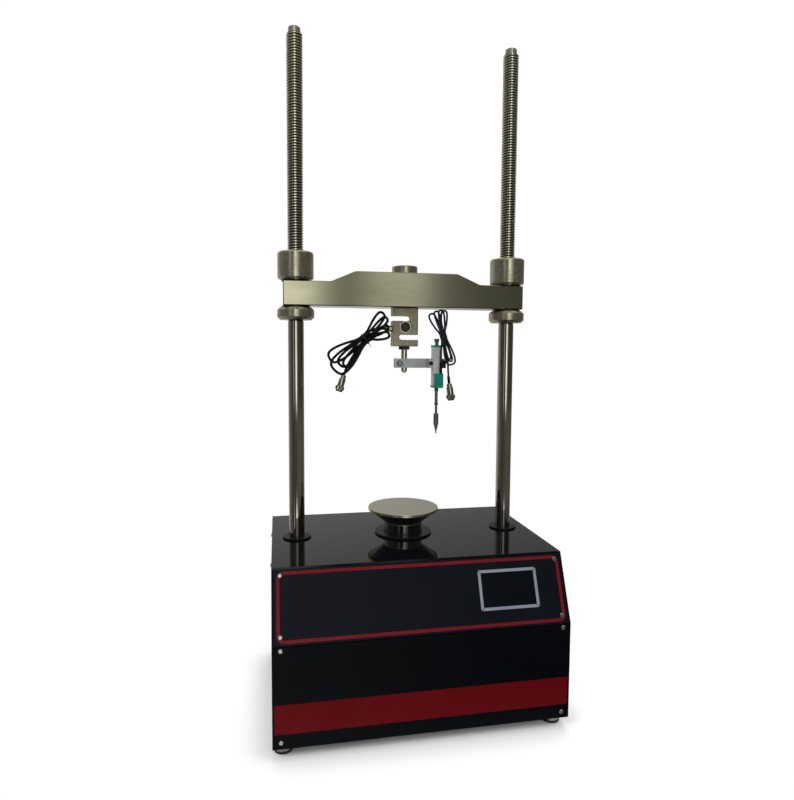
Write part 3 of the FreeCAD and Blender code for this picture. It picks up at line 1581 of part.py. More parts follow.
def plunger():
    zero = block_low - d.probe_bush_length
    thin = d.probe_rod_dia / 2
    thick = d.plunger_rod_dia / 2
    ring = d.plunger_ring_dia / 2
    neck = d.plunger_neck_dia / 2
    tip = d.plunger_tip_dia / 2
    point = d.plunger_point_dia / 2
    ring_low = zero - d.plunger_ring_drop
    tip_high = zero - d.plunger_tip_drop
    tip_low = tip_high - d.plunger_tip_length
    end = tip_low - d.plunger_point_length
    knob_low = probe_top + d.probe_cap + d.probe_boss_height + d.knob_gap
    knob = d.knob_dia / 2
    knob_high = knob_low + d.knob_height
    points = [
        (0, end),
        (point * 0.6, end),
        (point, end + 0.7),
        (point, end + 4),
        (tip - 0.8, tip_low),
        (tip, tip_low + 0.8),
        (tip, tip_high - 2.5),
        (tip - 1.8, tip_high),
        (neck, tip_high),
        (neck, ring_low),
        (ring, ring_low),
        (ring, ring_low + d.plunger_ring_height),
        (thick, ring_low + d.plunger_ring_height),
        (thick, block_low - 1),
        (thin, block_low),
        (thin, knob_low),
        (knob - 0.6, knob_low),
        (knob, knob_low + 0.6),
        (knob, knob_high - 1.2),
        (knob - 1.2, knob_high),
        (0, knob_high),
    ]
    return put(turned("plunger", points), probe_x, probe_y, 0)


# Cables. Routes are in millimetres from the ram's axis (X, Y) and the floor (Z).
CELL_CABLE_START = [(-40, 0, 717.5), (-50, 0, 717.5), (-60, -3.5, 716), (-69, -9.5, 712)]
CELL_CABLE_END = [(-113, -9.5, 646), (-117.5, -9.5, 637), (-120.7, -9.5, 627)]
PROBE_CABLE_START = [
    (66.5, -32.3, 653),
    (66.5, -32.3, 664),
    (67.9, -33, 676),
    (71, -34.2, 688),
]
PROBE_CABLE_END = [(80.5, -34.5, 654), (80.4, -34.4, 641), (81.2, -34.2, 626), (83.2, -34, 611)]

# Outlines of the two hanks, in the upright plane that each hangs in.
CELL_HANK = [
    (-47, 748.5),
    (-38, 738),
    (-37, 726),
    (-29.5, 715),
    (-31, 706),
    (-52, 697),
    (-74, 685),
    (-88, 668),
    (-101, 648),
    (-114, 633),
    (-128, 628.5),
    (-139, 637),
    (-149, 652),
    (-151, 664),
    (-140, 676),
    (-112, 690),
    (-84, 706),
    (-65, 727),
    (-55, 744),
]
PROBE_HANK = [
    (60, 753),
    (69, 750),
    (75.5, 737),
    (77, 716),
    (77.5, 701),
    (84, 680),
    (91.5, 664),
    (94.5, 654),
    (88, 645.5),
    (79, 650),
    (71.5, 664),
    (66.5, 684),
    (62, 702),
    (52, 720),
    (44, 734),
    (46, 746),
]


def lofted_tube(name, points, diameter):
    """A cable along straight runs joined by tangent arcs, with the length it follows."""
    corners = [FreeCAD.Vector(x, y + float(axis_y), z) for x, y, z in points]
    edges = []
    start = corners[0]
    for before, corner, after in zip(corners, corners[1:], corners[2:]):
        arrive = (corner - before).normalize()
        leave = (after - corner).normalize()
        turn = arrive.getAngle(leave)
        run = min((corner - before).Length, (after - corner).Length)
        reach = 0.45 * run
        print(f"{name}: radius {reach / math.tan(turn / 2):.1f} at {tuple(corner)}")
        first = corner - arrive * reach
        last = corner + leave * reach
        bisector = (leave - arrive).normalize()
        radius = reach / math.tan(turn / 2)
        centre = corner + bisector * math.hypot(radius, reach)
        middle = centre - bisector * radius
        edges.append(Part.LineSegment(start, first).toShape())
        edges.append(Part.Arc(first, middle, last).toShape())
        start = last
    edges.append(Part.LineSegment(start, corners[-1]).toShape())
    path = Part.Wire(edges)
    circle = Part.Circle(corners[0], corners[1] - corners[0], diameter / 2)
    profile = Part.Wire(circle.toShape())
    tube = path.makePipeShell([profile], True, False)
    expected = math.pi * diameter**2 / 4 * path.Length
    print(f"{name}: volume {tube.Volume:.1f}, section times length {expected:.1f}")
    return tube


def cable(name, diameter, *routes):
    doc.recompute()
    feature = doc.addObject("Part::Feature", name)
    tubes = [lofted_tube(name, route, float(diameter)) for route in routes]
    feature.Shape = Part.makeCompound([tube.Solids[0] for tube in tubes])
    return feature


def hank(name, points, thick, forward):
    """The closed outer shape of a tied hank, hung in an upright plane."""
    feature = doc.addObject("Part::Feature", name)
    y = float(axis_y - forward - thick / 2)
    spline = Part.BSplineCurve()
    spline.interpolate([FreeCAD.Vector(x, y, z) for x, z in points], PeriodicFlag=True)
    face = Part.Face(Part.Wire(spline.toShape()))
    feature.Shape = face.extrude(Y * float(thick))
    return feature


def cable_plug(name, route):
    """A round plug on the end of a cable, along the cable's last run."""
    ring = d.plug_ring_dia / 2
    body = d.plug_body_dia / 2
    nut = d.plug_nut_dia / 2
    face = d.plug_face_dia / 2
    length = d.plug_length
    ring_high = d.plug_face_length + d.plug_ring_length
    nut_low = length - d.plug_nut_length
    points = [
        (0, 0),
        (face, 0),
        (face, d.plug_face_length),
        (ring, d.plug_face_length),
        (ring, ring_high - 1),
        (ring - 1, ring_high),
        (body, ring_high),
        (body, nut_low - 2),
        (nut - 1, nut_low),
        (nut, nut_low),
        (nut, length - 1),
        (nut - 1, length),
        (0, length),
    ]
    plug = turned(name, points)
    before, end = (FreeCAD.Vector(x, y + float(axis_y), z) for x, y, z in route[-2:])
    away = (end - before).normalize()
    turn = FreeCAD.Rotation(Z, away * -1)
    plug.Placement = FreeCAD.Placement(end + away * float(length), turn)
    return plug


# Assembly
node(base_plate())
node(corner_posts())
node(load_plate())
node(top_cover())
right_panel = node(right_side_panel())
node(left_side_panel(right_panel))
node(control_panel())
node(lower_front_panel())
node(rear_panel())
node(touch_screen())
node(panel_screws())
node(foot_lock_nuts())
for foot_side, foot_px in (("left", -foot_x), ("right", foot_x)):
    for foot_end, foot_py in zip(("front", "rear"), foot_ys):
        node(levelling_foot(f"{foot_end}_{foot_side}_foot", foot_px, foot_py))
for column_side, column_px in (("left", -column_x), ("right", column_x)):
    node(column(f"{column_side}_column", column_px))
    node(upper_nut(f"{column_side}_upper_nut", column_px))
    node(lower_nut(f"{column_side}_lower_nut", column_px))
node(column_collars())
node(column_anchor_nuts())
node(ram_collar())
node(guide_bush())
node(ram())
node(platen())
node(ram_nut())
node(jack_housing())
node(lead_screw())
node(jack_pulley())
node(motor_pulley())
node(timing_belt())
node(drive_plate())
node(drive_motor())
node(power_supply())
node(control_board())
node(power_inlet())
node(power_rocker())
node(signal_sockets())
node(crosshead())
node(centre_bolt())
node(load_cell())
node(load_cell_gland())
node(loading_stud())
node(stud_lock_nut())
node(bracket_bar())
node(clamp_block())
node(bracket_screws())
node(transducer_body())
node(transducer_caps())
node(cable_sleeve())
node(plunger())
node(cable("load_cell_cable", d.cell_cable_dia, CELL_CABLE_START, CELL_CABLE_END))
node(hank("load_cell_hank", CELL_HANK, d.cell_hank_thick, d.cell_hank_forward))
node(cable_plug("load_cell_plug", CELL_CABLE_END))
node(cable("transducer_cable", d.probe_cable_dia, PROBE_CABLE_START, PROBE_CABLE_END))
node(hank("transducer_hank", PROBE_HANK, d.probe_hank_thick, d.probe_hank_forward))
node(cable_plug("transducer_plug", PROBE_CABLE_END))
doc.recompute()

for thing in doc.Objects:
    if "Invalid" in thing.State or "Error" in thing.State:
        raise RuntimeError(f"{thing.Name} failed: {thing.State}")
for thing in NODES:
    if thing.Shape.isNull() or not thing.Shape.isValid() or not thing.Shape.Solids:
        raise RuntimeError(f"{thing.Label} has no valid solid")

os.makedirs("parts", exist_ok=True)
for thing in NODES:
    thing.Shape.exportStep(os.path.join("parts", f"{thing.Label}.step"))
print(f"{len(NODES)} nodes written")
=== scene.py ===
import math

import bmesh
import bpy
from mathutils import Matrix, Vector


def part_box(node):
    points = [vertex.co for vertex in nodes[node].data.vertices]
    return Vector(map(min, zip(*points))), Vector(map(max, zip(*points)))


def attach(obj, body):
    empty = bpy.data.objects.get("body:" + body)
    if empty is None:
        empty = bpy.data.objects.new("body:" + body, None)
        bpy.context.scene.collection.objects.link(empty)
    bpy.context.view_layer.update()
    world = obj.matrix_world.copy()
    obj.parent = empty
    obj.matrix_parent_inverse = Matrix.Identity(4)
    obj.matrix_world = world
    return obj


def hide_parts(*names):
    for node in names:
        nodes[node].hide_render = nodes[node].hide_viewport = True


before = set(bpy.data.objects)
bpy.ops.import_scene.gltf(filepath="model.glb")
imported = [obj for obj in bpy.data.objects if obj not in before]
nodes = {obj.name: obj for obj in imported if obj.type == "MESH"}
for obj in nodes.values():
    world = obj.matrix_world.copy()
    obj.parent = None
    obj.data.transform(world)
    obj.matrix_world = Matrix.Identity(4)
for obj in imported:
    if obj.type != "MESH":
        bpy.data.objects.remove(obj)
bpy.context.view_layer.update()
scene = bpy.context.scene

# Places and sizes of the object, in metres from the floor and the console's middle.
MM = 0.001
RAM_AXIS_Y = 0.026
CONSOLE_HALF = (0.26, 0.184)
FRONT_Y = -0.183
KNEE_Z = 0.195
SLOPE_HEIGHT = 0.115
SLOPE_DEPTH = 0.046
SLOPE_ANGLE = math.atan2(SLOPE_HEIGHT, SLOPE_DEPTH)
COLUMN_X = 0.2115
COLUMN_FOOT_Z = 0.259
COLUMN_SHOULDER_Z = 0.307
COLUMN_TOP_Z = 1.2669
COLUMN_SPIGOT_RADIUS = 0.012
THREAD_PITCH = 0.005
THREAD_CREST = 0.015
THREAD_ROOT = 0.0129
THREAD_EDGE = 0.0002
# Width and soft edge of the painted shade on the nuts and bolt next to the crosshead.
SEAT_SHADE_WIDTH = 0.0026
SEAT_SHADE_EDGE = 0.0008
LOAD_CELL_Z = 0.7207


# Camera
def add_camera():
    """Stands where the fit to the photograph puts it."""
    azimuth = math.radians(-10.502)
    elevation = math.radians(4.047)
    roll = math.radians(0.290)
    distance = 1.17674
    target = Vector((-0.034136, RAM_AXIS_Y, 0.5875))
    back = Vector(
        (
            math.sin(azimuth) * math.cos(elevation),
            -math.cos(azimuth) * math.cos(elevation),
            math.sin(elevation),
        )
    )
    right = Vector((math.cos(azimuth), math.sin(azimuth), 0))
    up = back.cross(right)
    turned_right = right * math.cos(roll) + up * math.sin(roll)
    turned_up = up * math.cos(roll) - right * math.sin(roll)
    data = bpy.data.cameras.new("camera")
    data.sensor_width = 36
    data.lens = 26.773
    data.shift_x = 0.01258
    data.shift_y = -0.00654
    data.clip_start = 0.01
    camera = bpy.data.objects.new("camera", data)
    camera.matrix_world = Matrix.Translation(target + back * distance) @ Matrix(
        (turned_right, turned_up, back)
    ).transposed().to_4x4()
    scene.collection.objects.link(camera)
    scene.camera = camera


add_camera()


# Cables. Places in millimetres from the ram's axis (X, Y) and the floor (Z), as in the solids.
CELL_CABLE = 5.0
PROBE_CABLE = 3.8
CELL_START = [(-40, 0, 717.5), (-50, 0, 717.5), (-60, -2.2, 716.2), (-69, -5, 712.5)]
CELL_TAIL = [
    (-96, -8.8, 675),
    (-107, -9.4, 657),
    (-113.5, -9.5, 645),
    (-117.5, -9.5, 637),
    (-120.7, -9.5, 627),
]
PROBE_START = [(66.5, -32.3, 653), (66.5, -32.3, 664), (66.8, -32, 678)]
PROBE_TAIL = [
    (72.2, -34.6, 680),
    (76.3, -34.6, 667),
    (79.8, -34.6, 654),
    (80.4, -34.4, 641),
    (81.2, -34.2, 626),
    (83.2, -34, 611),
]

# Control points of one loop of a hank: out along it, to one side, and share of its change of depth.
LOOP_SHAPE = (
    (0.42, -0.38, 0),
    (0.7, -0.5, 0),
    (0.93, -0.48, 0.1),
    (1.03, -0.28, 0.3),
    (1.03, 0.28, 0.7),
    (0.93, 0.48, 0.9),
    (0.7, 0.5, 1),
    (0.42, 0.38, 1),
)


def off_axis(middle, direction, along, across):
    """A point in the upright plane, from a middle and a direction in degrees."""
    turn = math.radians(direction)
    return (
        middle[0] + math.cos(turn) * along - math.sin(turn) * across,
        middle[1] + math.sin(turn) * along + math.cos(turn) * across,
    )


def hank_route(middle, lean, tie_length, heading, passes, loops):
    """A cable's way through a tied hank: passes through the tie, and a loop between each two."""
    points = []
    for number, (offset, depth) in enumerate(passes):
        for end in (-0.5, 0.5):
            x, z = off_axis(middle, lean, end * heading * tie_length, offset)
            points.append((x, depth, z))
        if number < len(loops):
            next_offset, next_depth = passes[number + 1]
            side = math.copysign(1, (next_offset - offset) * heading)
            direction, reach, width = loops[number]
            for out, aside, share in LOOP_SHAPE:
                x, z = off_axis(middle, direction, out * reach, aside * width * side)
                points.append((x, depth + (next_depth - depth) * share, z))
        heading = -heading
    return points


# Each pass is an offset across the tie and a depth. Each loop is a direction in degrees, how far it
# reaches and how wide it is.
CELL_BACK, CELL_MIDDLE, CELL_FRONT = -8.8, -13.8, -18.8
CELL_PASSES = [
    (7.5, CELL_BACK),
    (-2.5, CELL_BACK),
    (7.5, CELL_MIDDLE),
    (-7.5, CELL_MIDDLE),
    (-2.5, CELL_MIDDLE),
    (2.5, CELL_MIDDLE),
    (5, CELL_FRONT),
    (-5, CELL_FRONT),
    (-7.5, CELL_BACK),
]
CELL_LOOPS = [
    (209, 75, 27),
    (55, 60, 17),
    (226, 81, 37),
    (11, 47, 13),
    (226, 67, 23),
    (44, 57, 14),
    (233, 63, 18),
    (28, 50, 12),
]
CELL_HANK = hank_route(
    middle=(-80.5, 696.3), lean=40.2, tie_length=21, heading=-1, passes=CELL_PASSES, loops=CELL_LOOPS
)
CELL_ROUTE = CELL_START + CELL_HANK + CELL_TAIL

PROBE_BACK, PROBE_MIDDLE, PROBE_FRONT = -30.8, -34.6, -38.4
PROBE_PASSES = [
    (3.9, PROBE_BACK),
    (0, PROBE_BACK),
    (-3.9, PROBE_BACK),
    (3.9, PROBE_FRONT),
    (-3.9, PROBE_FRONT),
    (0, PROBE_FRONT),
    (-3.9, PROBE_MIDDLE),
    (3.9, PROBE_MIDDLE),
]
PROBE_LOOPS = [
    (120, 49, 13),
    (-73, 44, 10),
    (108, 50, 12),
    (-73, 54, 19),
    (98, 50, 11),
    (-72, 48, 9),
    (89, 49, 12),
]
PROBE_HANK = hank_route(
    middle=(70.5, 701.5), lean=106.7, tie_length=16, heading=1, passes=PROBE_PASSES, loops=PROBE_LOOPS
)
PROBE_ROUTE = PROBE_START + PROBE_HANK + PROBE_TAIL


def in_metres(points):
    """A cable's points in the scene's frame."""
    return [Vector((x * MM, y * MM + RAM_AXIS_Y, z * MM)) for x, y, z in points]


def add_cable(name, route, diameter):
    """A cable whose points carry its radius, because a curve's box grows by that."""
    curve = bpy.data.curves.new(name, "CURVE")
    curve.dimensions = "3D"
    spline = curve.splines.new("NURBS")
    points = in_metres(route)
    spline.points.add(len(points) - 1)
    for control, point in zip(spline.points, points):
        control.co = (*point, 1)
        control.radius = diameter * MM / 2
    spline.order_u = 3
    spline.use_endpoint_u = True
    spline.resolution_u = 8
    curve.bevel_depth = 1
    curve.bevel_resolution = 4
    curve.use_fill_caps = True
    piece = bpy.data.objects.new(name, curve)
    scene.collection.objects.link(piece)
    return piece


# Building meshes
def finish_piece(name, bm, body, smooth_angle=35):
    """Turns a bmesh into a piece that rides on a body, smooth but for its sharp edges."""
    bmesh.ops.recalc_face_normals(bm, faces=bm.faces)
    for face in bm.faces:
        face.smooth = True
    for edge in bm.edges:
        edge.smooth = edge.is_manifold and edge.calc_face_angle(math.pi) < math.radians(smooth_angle)
    mesh = bpy.data.meshes.new(name)
    bm.to_mesh(mesh)
    bm.free()
    piece = bpy.data.objects.new(name, mesh)
    scene.collection.objects.link(piece)
    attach(piece, body)
    return piece


def lathe(profile, segments=64):
    """A closed solid turned about Z from (radius, height) corners in metres."""
    bm = bmesh.new()
    corners = [bm.verts.new((radius, 0, height)) for radius, height in profile]
    edges = [bm.edges.new(pair) for pair in zip(corners, corners[1:])]
    bmesh.ops.spin(
        bm,
        geom=corners + edges,
        cent=(0, 0, 0),
        axis=(0, 0, 1),
        dvec=(0, 0, 0),
        angle=math.tau,
        steps=segments,
        use_merge=True,
    )
    bmesh.ops.remove_doubles(bm, verts=bm.verts, dist=1e-6)
    return bm


def slope_matrix():
    """The frame of the sloping panel: X across, Y up the slope, Z outwards."""
    return Matrix.Translation((0, FRONT_Y, KNEE_Z)) @ Matrix.Rotation(SLOPE_ANGLE, 4, "X")


def rounded_plate(x0, x1, y0, y1, corner, low, high, rim=0.0):
    """A flat plate with rounded corners, or only its rim where a rim width is given."""
    bm = bmesh.new()
    corners = [bm.verts.new((x, y, low)) for x, y in ((x0, y0), (x1, y0), (x1, y1), (x0, y1))]
    face = bm.faces.new(corners)
    bmesh.ops.bevel(
        bm,
        geom=corners,
        offset=corner,
        segments=8,
        profile=0.5,
        affect="VERTICES",
        material=-1,
    )
    if rim:
        bm.faces.ensure_lookup_table()
        face = bm.faces[0]
        bmesh.ops.inset_region(
            bm, faces=[face], thickness=rim, use_even_offset=True, use_boundary=True
        )
        bmesh.ops.delete(bm, geom=[face], context="FACES_ONLY")
    result = bmesh.ops.extrude_face_region(bm, geom=list(bm.faces))
    moved = [part for part in result["geom"] if isinstance(part, bmesh.types.BMVert)]
    bmesh.ops.translate(bm, verts=moved, vec=(0, 0, high - low))
    return bm


# Shader node groups
def new_group(name, inputs, outputs):
    """An empty group with named sockets, and its two end nodes."""
    group = bpy.data.node_groups.new(name, "ShaderNodeTree")
    for socket_name, kind, value in inputs:
        socket = group.interface.new_socket(socket_name, in_out="INPUT", socket_type=kind)
        socket.default_value = value
    for socket_name, kind in outputs:
        group.interface.new_socket(socket_name, in_out="OUTPUT", socket_type=kind)
    entry = group.nodes.new("NodeGroupInput")
    leave = group.nodes.new("NodeGroupOutput")
    return group, entry, leave


def mottled_group():
    """A colour that drifts towards a tint in soft patches."""
    group, entry, leave = new_group(
        "mottled colour",
        [
            ("Vector", "NodeSocketVector", (0, 0, 0)),
            ("Color", "NodeSocketColor", (0.5, 0.5, 0.5, 1)),
            ("Tint", "NodeSocketColor", (0.4, 0.4, 0.4, 1)),
            ("Scale", "NodeSocketFloat", 20.0),
            ("Contrast", "NodeSocketFloat", 1.0),
        ],
        [("Color", "NodeSocketColor"), ("Patches", "NodeSocketFloat")],
    )
    noise = group.nodes.new("ShaderNodeTexNoise")
    noise.inputs["Detail"].default_value = 5
    noise.inputs["Roughness"].default_value = 0.6
    centred = group.nodes.new("ShaderNodeMath")
    centred.operation = "SUBTRACT"
    centred.inputs[1].default_value = 0.5
    stretched = group.nodes.new("ShaderNodeMath")
    stretched.operation = "MULTIPLY_ADD"
    stretched.inputs[2].default_value = 0.5
    stretched.use_clamp = True
    mix = group.nodes.new("ShaderNodeMix")
    mix.data_type = "RGBA"
    link = group.links.new
    link(entry.outputs["Vector"], noise.inputs["Vector"])
    link(entry.outputs["Scale"], noise.inputs["Scale"])
    link(noise.outputs["Fac"], centred.inputs[0])
    link(centred.outputs[0], stretched.inputs[0])
    link(entry.outputs["Contrast"], stretched.inputs[1])
    link(stretched.outputs[0], mix.inputs["Factor"])
    link(entry.outputs["Color"], mix.inputs["A"])
    link(entry.outputs["Tint"], mix.inputs["B"])
    link(mix.outputs["Result"], leave.inputs["Color"])
    link(stretched.outputs[0], leave.inputs["Patches"])
    return group


def turned_group():
    """Fine rings left by a lathe, about a vertical axis through the origin of the vector."""
    group, entry, leave = new_group(
        "turned rings",
        [
            ("Vector", "NodeSocketVector", (0, 0, 0)),
            ("Rings per metre", "NodeSocketFloat", 900.0),
        ],
        [("Height", "NodeSocketFloat")],
    )
    split = group.nodes.new("ShaderNodeSeparateXYZ")
    flat = group.nodes.new("ShaderNodeCombineXYZ")
    length = group.nodes.new("ShaderNodeVectorMath")
    length.operation = "LENGTH"
    both = group.nodes.new("ShaderNodeMath")
    both.operation = "ADD"
    scaled = group.nodes.new("ShaderNodeMath")
    scaled.operation = "MULTIPLY"
    noise = group.nodes.new("ShaderNodeTexNoise")
    noise.noise_dimensions = "1D"
    noise.inputs["Scale"].default_value = 1
    noise.inputs["Detail"].default_value = 3
    link = group.links.new
    link(entry.outputs["Vector"], split.inputs[0])
    link(split.outputs["X"], flat.inputs["X"])
    link(split.outputs["Y"], flat.inputs["Y"])
    link(flat.outputs[0], length.inputs[0])
    link(length.outputs["Value"], both.inputs[0])
    link(split.outputs["Z"], both.inputs[1])
    link(both.outputs[0], scaled.inputs[0])
    link(entry.outputs["Rings per metre"], scaled.inputs[1])
    link(scaled.outputs[0], noise.inputs["W"])
    link(noise.outputs["Fac"], leave.inputs["Height"])
    return group


MOTTLED = mottled_group()
TURNED = turned_group()


def linear(red, green, blue):
    """A colour read as 0 to 255 screen values, as the linear values that shaders take."""
    values = []
    for channel in (red, green, blue):
        channel /= 255
        values.append(channel / 12.92 if channel < 0.04045 else ((channel + 0.055) / 1.055) ** 2.4)
    return (*values, 1)


class Finish:
    """A material with mottled colour, uneven gloss and a bump, all on Object coordinates."""

    def __init__(self, name, color, tint, scale, contrast=2.0, stretch=(1, 1, 1), centre=(0, 0, 0)):
        self.material = bpy.data.materials.new(name)
        self.material.use_nodes = True
        tree = self.material.node_tree
        self.nodes = tree.nodes
        self.link = tree.links.new
        self.shader = self.nodes["Principled BSDF"]
        self.coordinates = self.nodes.new("ShaderNodeTexCoord")
        self.mapping = self.nodes.new("ShaderNodeMapping")
        self.mapping.inputs["Location"].default_value = [-s * c for s, c in zip(stretch, centre)]
        self.mapping.inputs["Scale"].default_value = stretch
        self.mottled = self.nodes.new("ShaderNodeGroup")
        self.mottled.node_tree = MOTTLED
        self.mottled.inputs["Color"].default_value = linear(*color)
        self.mottled.inputs["Tint"].default_value = linear(*tint)
        self.mottled.inputs["Scale"].default_value = scale
        self.mottled.inputs["Contrast"].default_value = contrast
        self.link(self.coordinates.outputs["Object"], self.mapping.inputs["Vector"])
        self.link(self.mapping.outputs["Vector"], self.mottled.inputs["Vector"])
        self.link(self.mottled.outputs["Color"], self.shader.inputs["Base Color"])

    def gloss(self, smooth, rough, metallic=0.0, ior=1.5, specular=0.5):
        """Roughness runs from smooth to rough with the patches."""
        spread = self.nodes.new("ShaderNodeMapRange")
        spread.inputs["To Min"].default_value = smooth
        spread.inputs["To Max"].default_value = rough
        self.link(self.mottled.outputs["Patches"], spread.inputs["Value"])
        self.link(spread.outputs["Result"], self.shader.inputs["Roughness"])
        self.shader.inputs["Metallic"].default_value = metallic
        self.shader.inputs["IOR"].default_value = ior
        self.shader.inputs["Specular IOR Level"].default_value = specular
        return self

    def bump(self, height, strength, distance):
        """Relief from a height that runs over the surface."""
        node = self.nodes.new("ShaderNodeBump")
        node.inputs["Strength"].default_value = strength
        node.inputs["Distance"].default_value = distance
        self.link(height, node.inputs["Height"])
        self.link(node.outputs["Normal"], self.shader.inputs["Normal"])
        return self

    def grainy(self, scale, strength, distance=0.0002):
        """Fine uneven relief."""
        grain = self.nodes.new("ShaderNodeTexNoise")
        grain.inputs["Scale"].default_value = scale
        grain.inputs["Detail"].default_value = 3
        self.link(self.mapping.outputs["Vector"], grain.inputs["Vector"])
        return self.bump(grain.outputs["Fac"], strength, distance)

    def turned(self, rings, strength, distance=0.00015):
        """The relief of a lathe's rings."""
        marks = self.nodes.new("ShaderNodeGroup")
        marks.node_tree = TURNED
        marks.inputs["Rings per metre"].default_value = rings
        self.link(self.mapping.outputs["Vector"], marks.inputs["Vector"])
        return self.bump(marks.outputs["Height"], strength, distance)


def groove_finish(side, axis_x):
    """Bright thread crests over grooves darkened with painted shade."""
    centre = (axis_x, RAM_AXIS_Y, 0)
    finish = Finish(
        f"{side} chromed thread", (222, 218, 196), (192, 188, 166), 60, 3, centre=centre
    ).gloss(0.16, 0.28, 0.95)
    split = finish.nodes.new("ShaderNodeSeparateXYZ")
    flat = finish.nodes.new("ShaderNodeCombineXYZ")
    radius = finish.nodes.new("ShaderNodeVectorMath")
    radius.operation = "LENGTH"
    # Painted shade in the thread's roots: darker the nearer a point lies to the root radius.
    crest = finish.nodes.new("ShaderNodeMapRange")
    crest.inputs["From Min"].default_value = THREAD_ROOT + THREAD_EDGE
    crest.inputs["From Max"].default_value = THREAD_CREST - THREAD_EDGE
    mix = finish.nodes.new("ShaderNodeMix")
    mix.data_type = "RGBA"
    mix.inputs["A"].default_value = linear(84, 81, 68)
    finish.link(finish.mapping.outputs["Vector"], split.inputs[0])
    finish.link(split.outputs["X"], flat.inputs["X"])
    finish.link(split.outputs["Y"], flat.inputs["Y"])
    finish.link(flat.outputs[0], radius.inputs[0])
    finish.link(radius.outputs["Value"], crest.inputs["Value"])
    finish.link(crest.outputs["Result"], mix.inputs["Factor"])
    finish.link(finish.mottled.outputs["Color"], mix.inputs["B"])
    finish.link(mix.outputs["Result"], finish.shader.inputs["Base Color"])
    return finish.grainy(1500, 0.08)


def seat_finish():
    """Turned nickel, darkened with painted shade where the nuts meet the crosshead."""
    finish = Finish("turned nickel", (166, 162, 140), (142, 138, 116), 30, 2.4)
    finish.gloss(0.2, 0.32, 0.85)
    upper_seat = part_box("left_upper_nut")[0][2]
    lower_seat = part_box("left_lower_nut")[1][2]
    dark_end = (upper_seat - lower_seat) / 2 + SEAT_SHADE_WIDTH
    split = finish.nodes.new("ShaderNodeSeparateXYZ")
    offset = finish.nodes.new("ShaderNodeMath")
    offset.operation = "SUBTRACT"
    offset.inputs[1].default_value = (upper_seat + lower_seat) / 2
    distance = finish.nodes.new("ShaderNodeMath")
    distance.operation = "ABSOLUTE"
    # Painted shade on the nuts and bolt in a band round the crosshead's faces.
    unshaded = finish.nodes.new("ShaderNodeMapRange")
    unshaded.inputs["From Min"].default_value = dark_end
    unshaded.inputs["From Max"].default_value = dark_end + SEAT_SHADE_EDGE
    mix = finish.nodes.new("ShaderNodeMix")
    mix.data_type = "RGBA"
    mix.inputs["A"].default_value = linear(44, 34, 24)
    finish.link(finish.coordinates.outputs["Object"], split.inputs[0])
    finish.link(split.outputs["Z"], offset.inputs[0])
    finish.link(offset.outputs[0], distance.inputs[0])
    finish.link(distance.outputs[0], unshaded.inputs["Value"])
    finish.link(unshaded.outputs["Result"], mix.inputs["Factor"])
    finish.link(finish.mottled.outputs["Color"], mix.inputs["B"])
    finish.link(mix.outputs["Result"], finish.shader.inputs["Base Color"])
    return finish.grainy(1100, 0.2)


def dress(finish, *names):
    """Gives CAD nodes or pieces a material."""
    for name in names:
        thing = nodes[name] if isinstance(name, str) else name
        if not thing.data.materials:
            thing.data.materials.append(finish.material)
        for number in range(len(thing.data.materials)):
            thing.data.materials[number] = finish.material


# Finishes: two colours from 0 to 255, patches per metre and their contrast, then gloss and relief.
gloss_black = Finish("gloss black paint", (6, 7, 9), (9, 10, 12), 8)
gloss_black.gloss(0.03, 0.08, ior=1.35, specular=0.22)
gloss_black.grainy(400, 0.02)
panel_black = Finish("satin black paint", (6, 9, 12), (10, 12, 16), 14)
panel_black.gloss(0.24, 0.36, specular=0.03)
panel_black.grainy(1500, 0.05)
navy_foil = Finish("dark printed foil", (12, 15, 20), (16, 19, 25), 9)
navy_foil.gloss(0.26, 0.38, specular=0.05)
navy_foil.grainy(1400, 0.05)
red_print = Finish("dark red print", (106, 21, 28), (96, 18, 24), 12)
red_print.gloss(0.3, 0.42, specular=0.1)
red_print.grainy(1400, 0.05)
band_print = Finish("deep red print", (104, 14, 20), (95, 11, 17), 10)
band_print.gloss(0.3, 0.42, specular=0.05)
band_print.grainy(1400, 0.05)
grey_frame = Finish("grey screen frame", (132, 136, 148), (122, 126, 138), 20)
grey_frame.gloss(0.3, 0.42, specular=0.2)
grey_frame.grainy(1200, 0.06)
screen_glass = Finish("dark display glass", (9, 12, 16), (12, 15, 20), 6)
screen_glass.gloss(0.03, 0.07, specular=0.1)
screen_glass.grainy(200, 0.01)
zinc_sheet = Finish("zinc-plated sheet", (150, 152, 150), (130, 133, 134), 45, 3)
zinc_sheet.gloss(0.3, 0.5, 0.8)
zinc_sheet.grainy(300, 0.15)
raw_steel = Finish("machined steel", (128, 128, 126), (108, 107, 104), 60, 2)
raw_steel.gloss(0.3, 0.5, 0.8)
raw_steel.grainy(900, 0.2)
chrome = Finish("hard chrome", (176, 168, 152), (160, 152, 136), 12, 2)
chrome.gloss(0.05, 0.1, 1.0)
chrome.grainy(60, 0.01)
ram_chrome = Finish("ground chrome", (150, 152, 156), (138, 140, 145), 12, 2)
ram_chrome.gloss(0.06, 0.12, 1.0)
polished = Finish("polished steel", (206, 204, 194), (190, 188, 178), 12, 2)
polished.gloss(0.06, 0.12, 1.0)
polished.grainy(80, 0.01)
bright_end = Finish("bright turned end", (170, 167, 158), (146, 143, 132), 40, 2)
bright_end.gloss(0.2, 0.32, 0.8)
bright_end.grainy(1200, 0.15)
nickel = Finish("satin nickel", (148, 146, 122), (122, 120, 98), 14, 2.4, stretch=(0.25, 1, 1))
nickel.gloss(0.08, 0.15, 0.92)
nickel.grainy(900, 0.06, 0.0001)
nut_nickel = seat_finish()
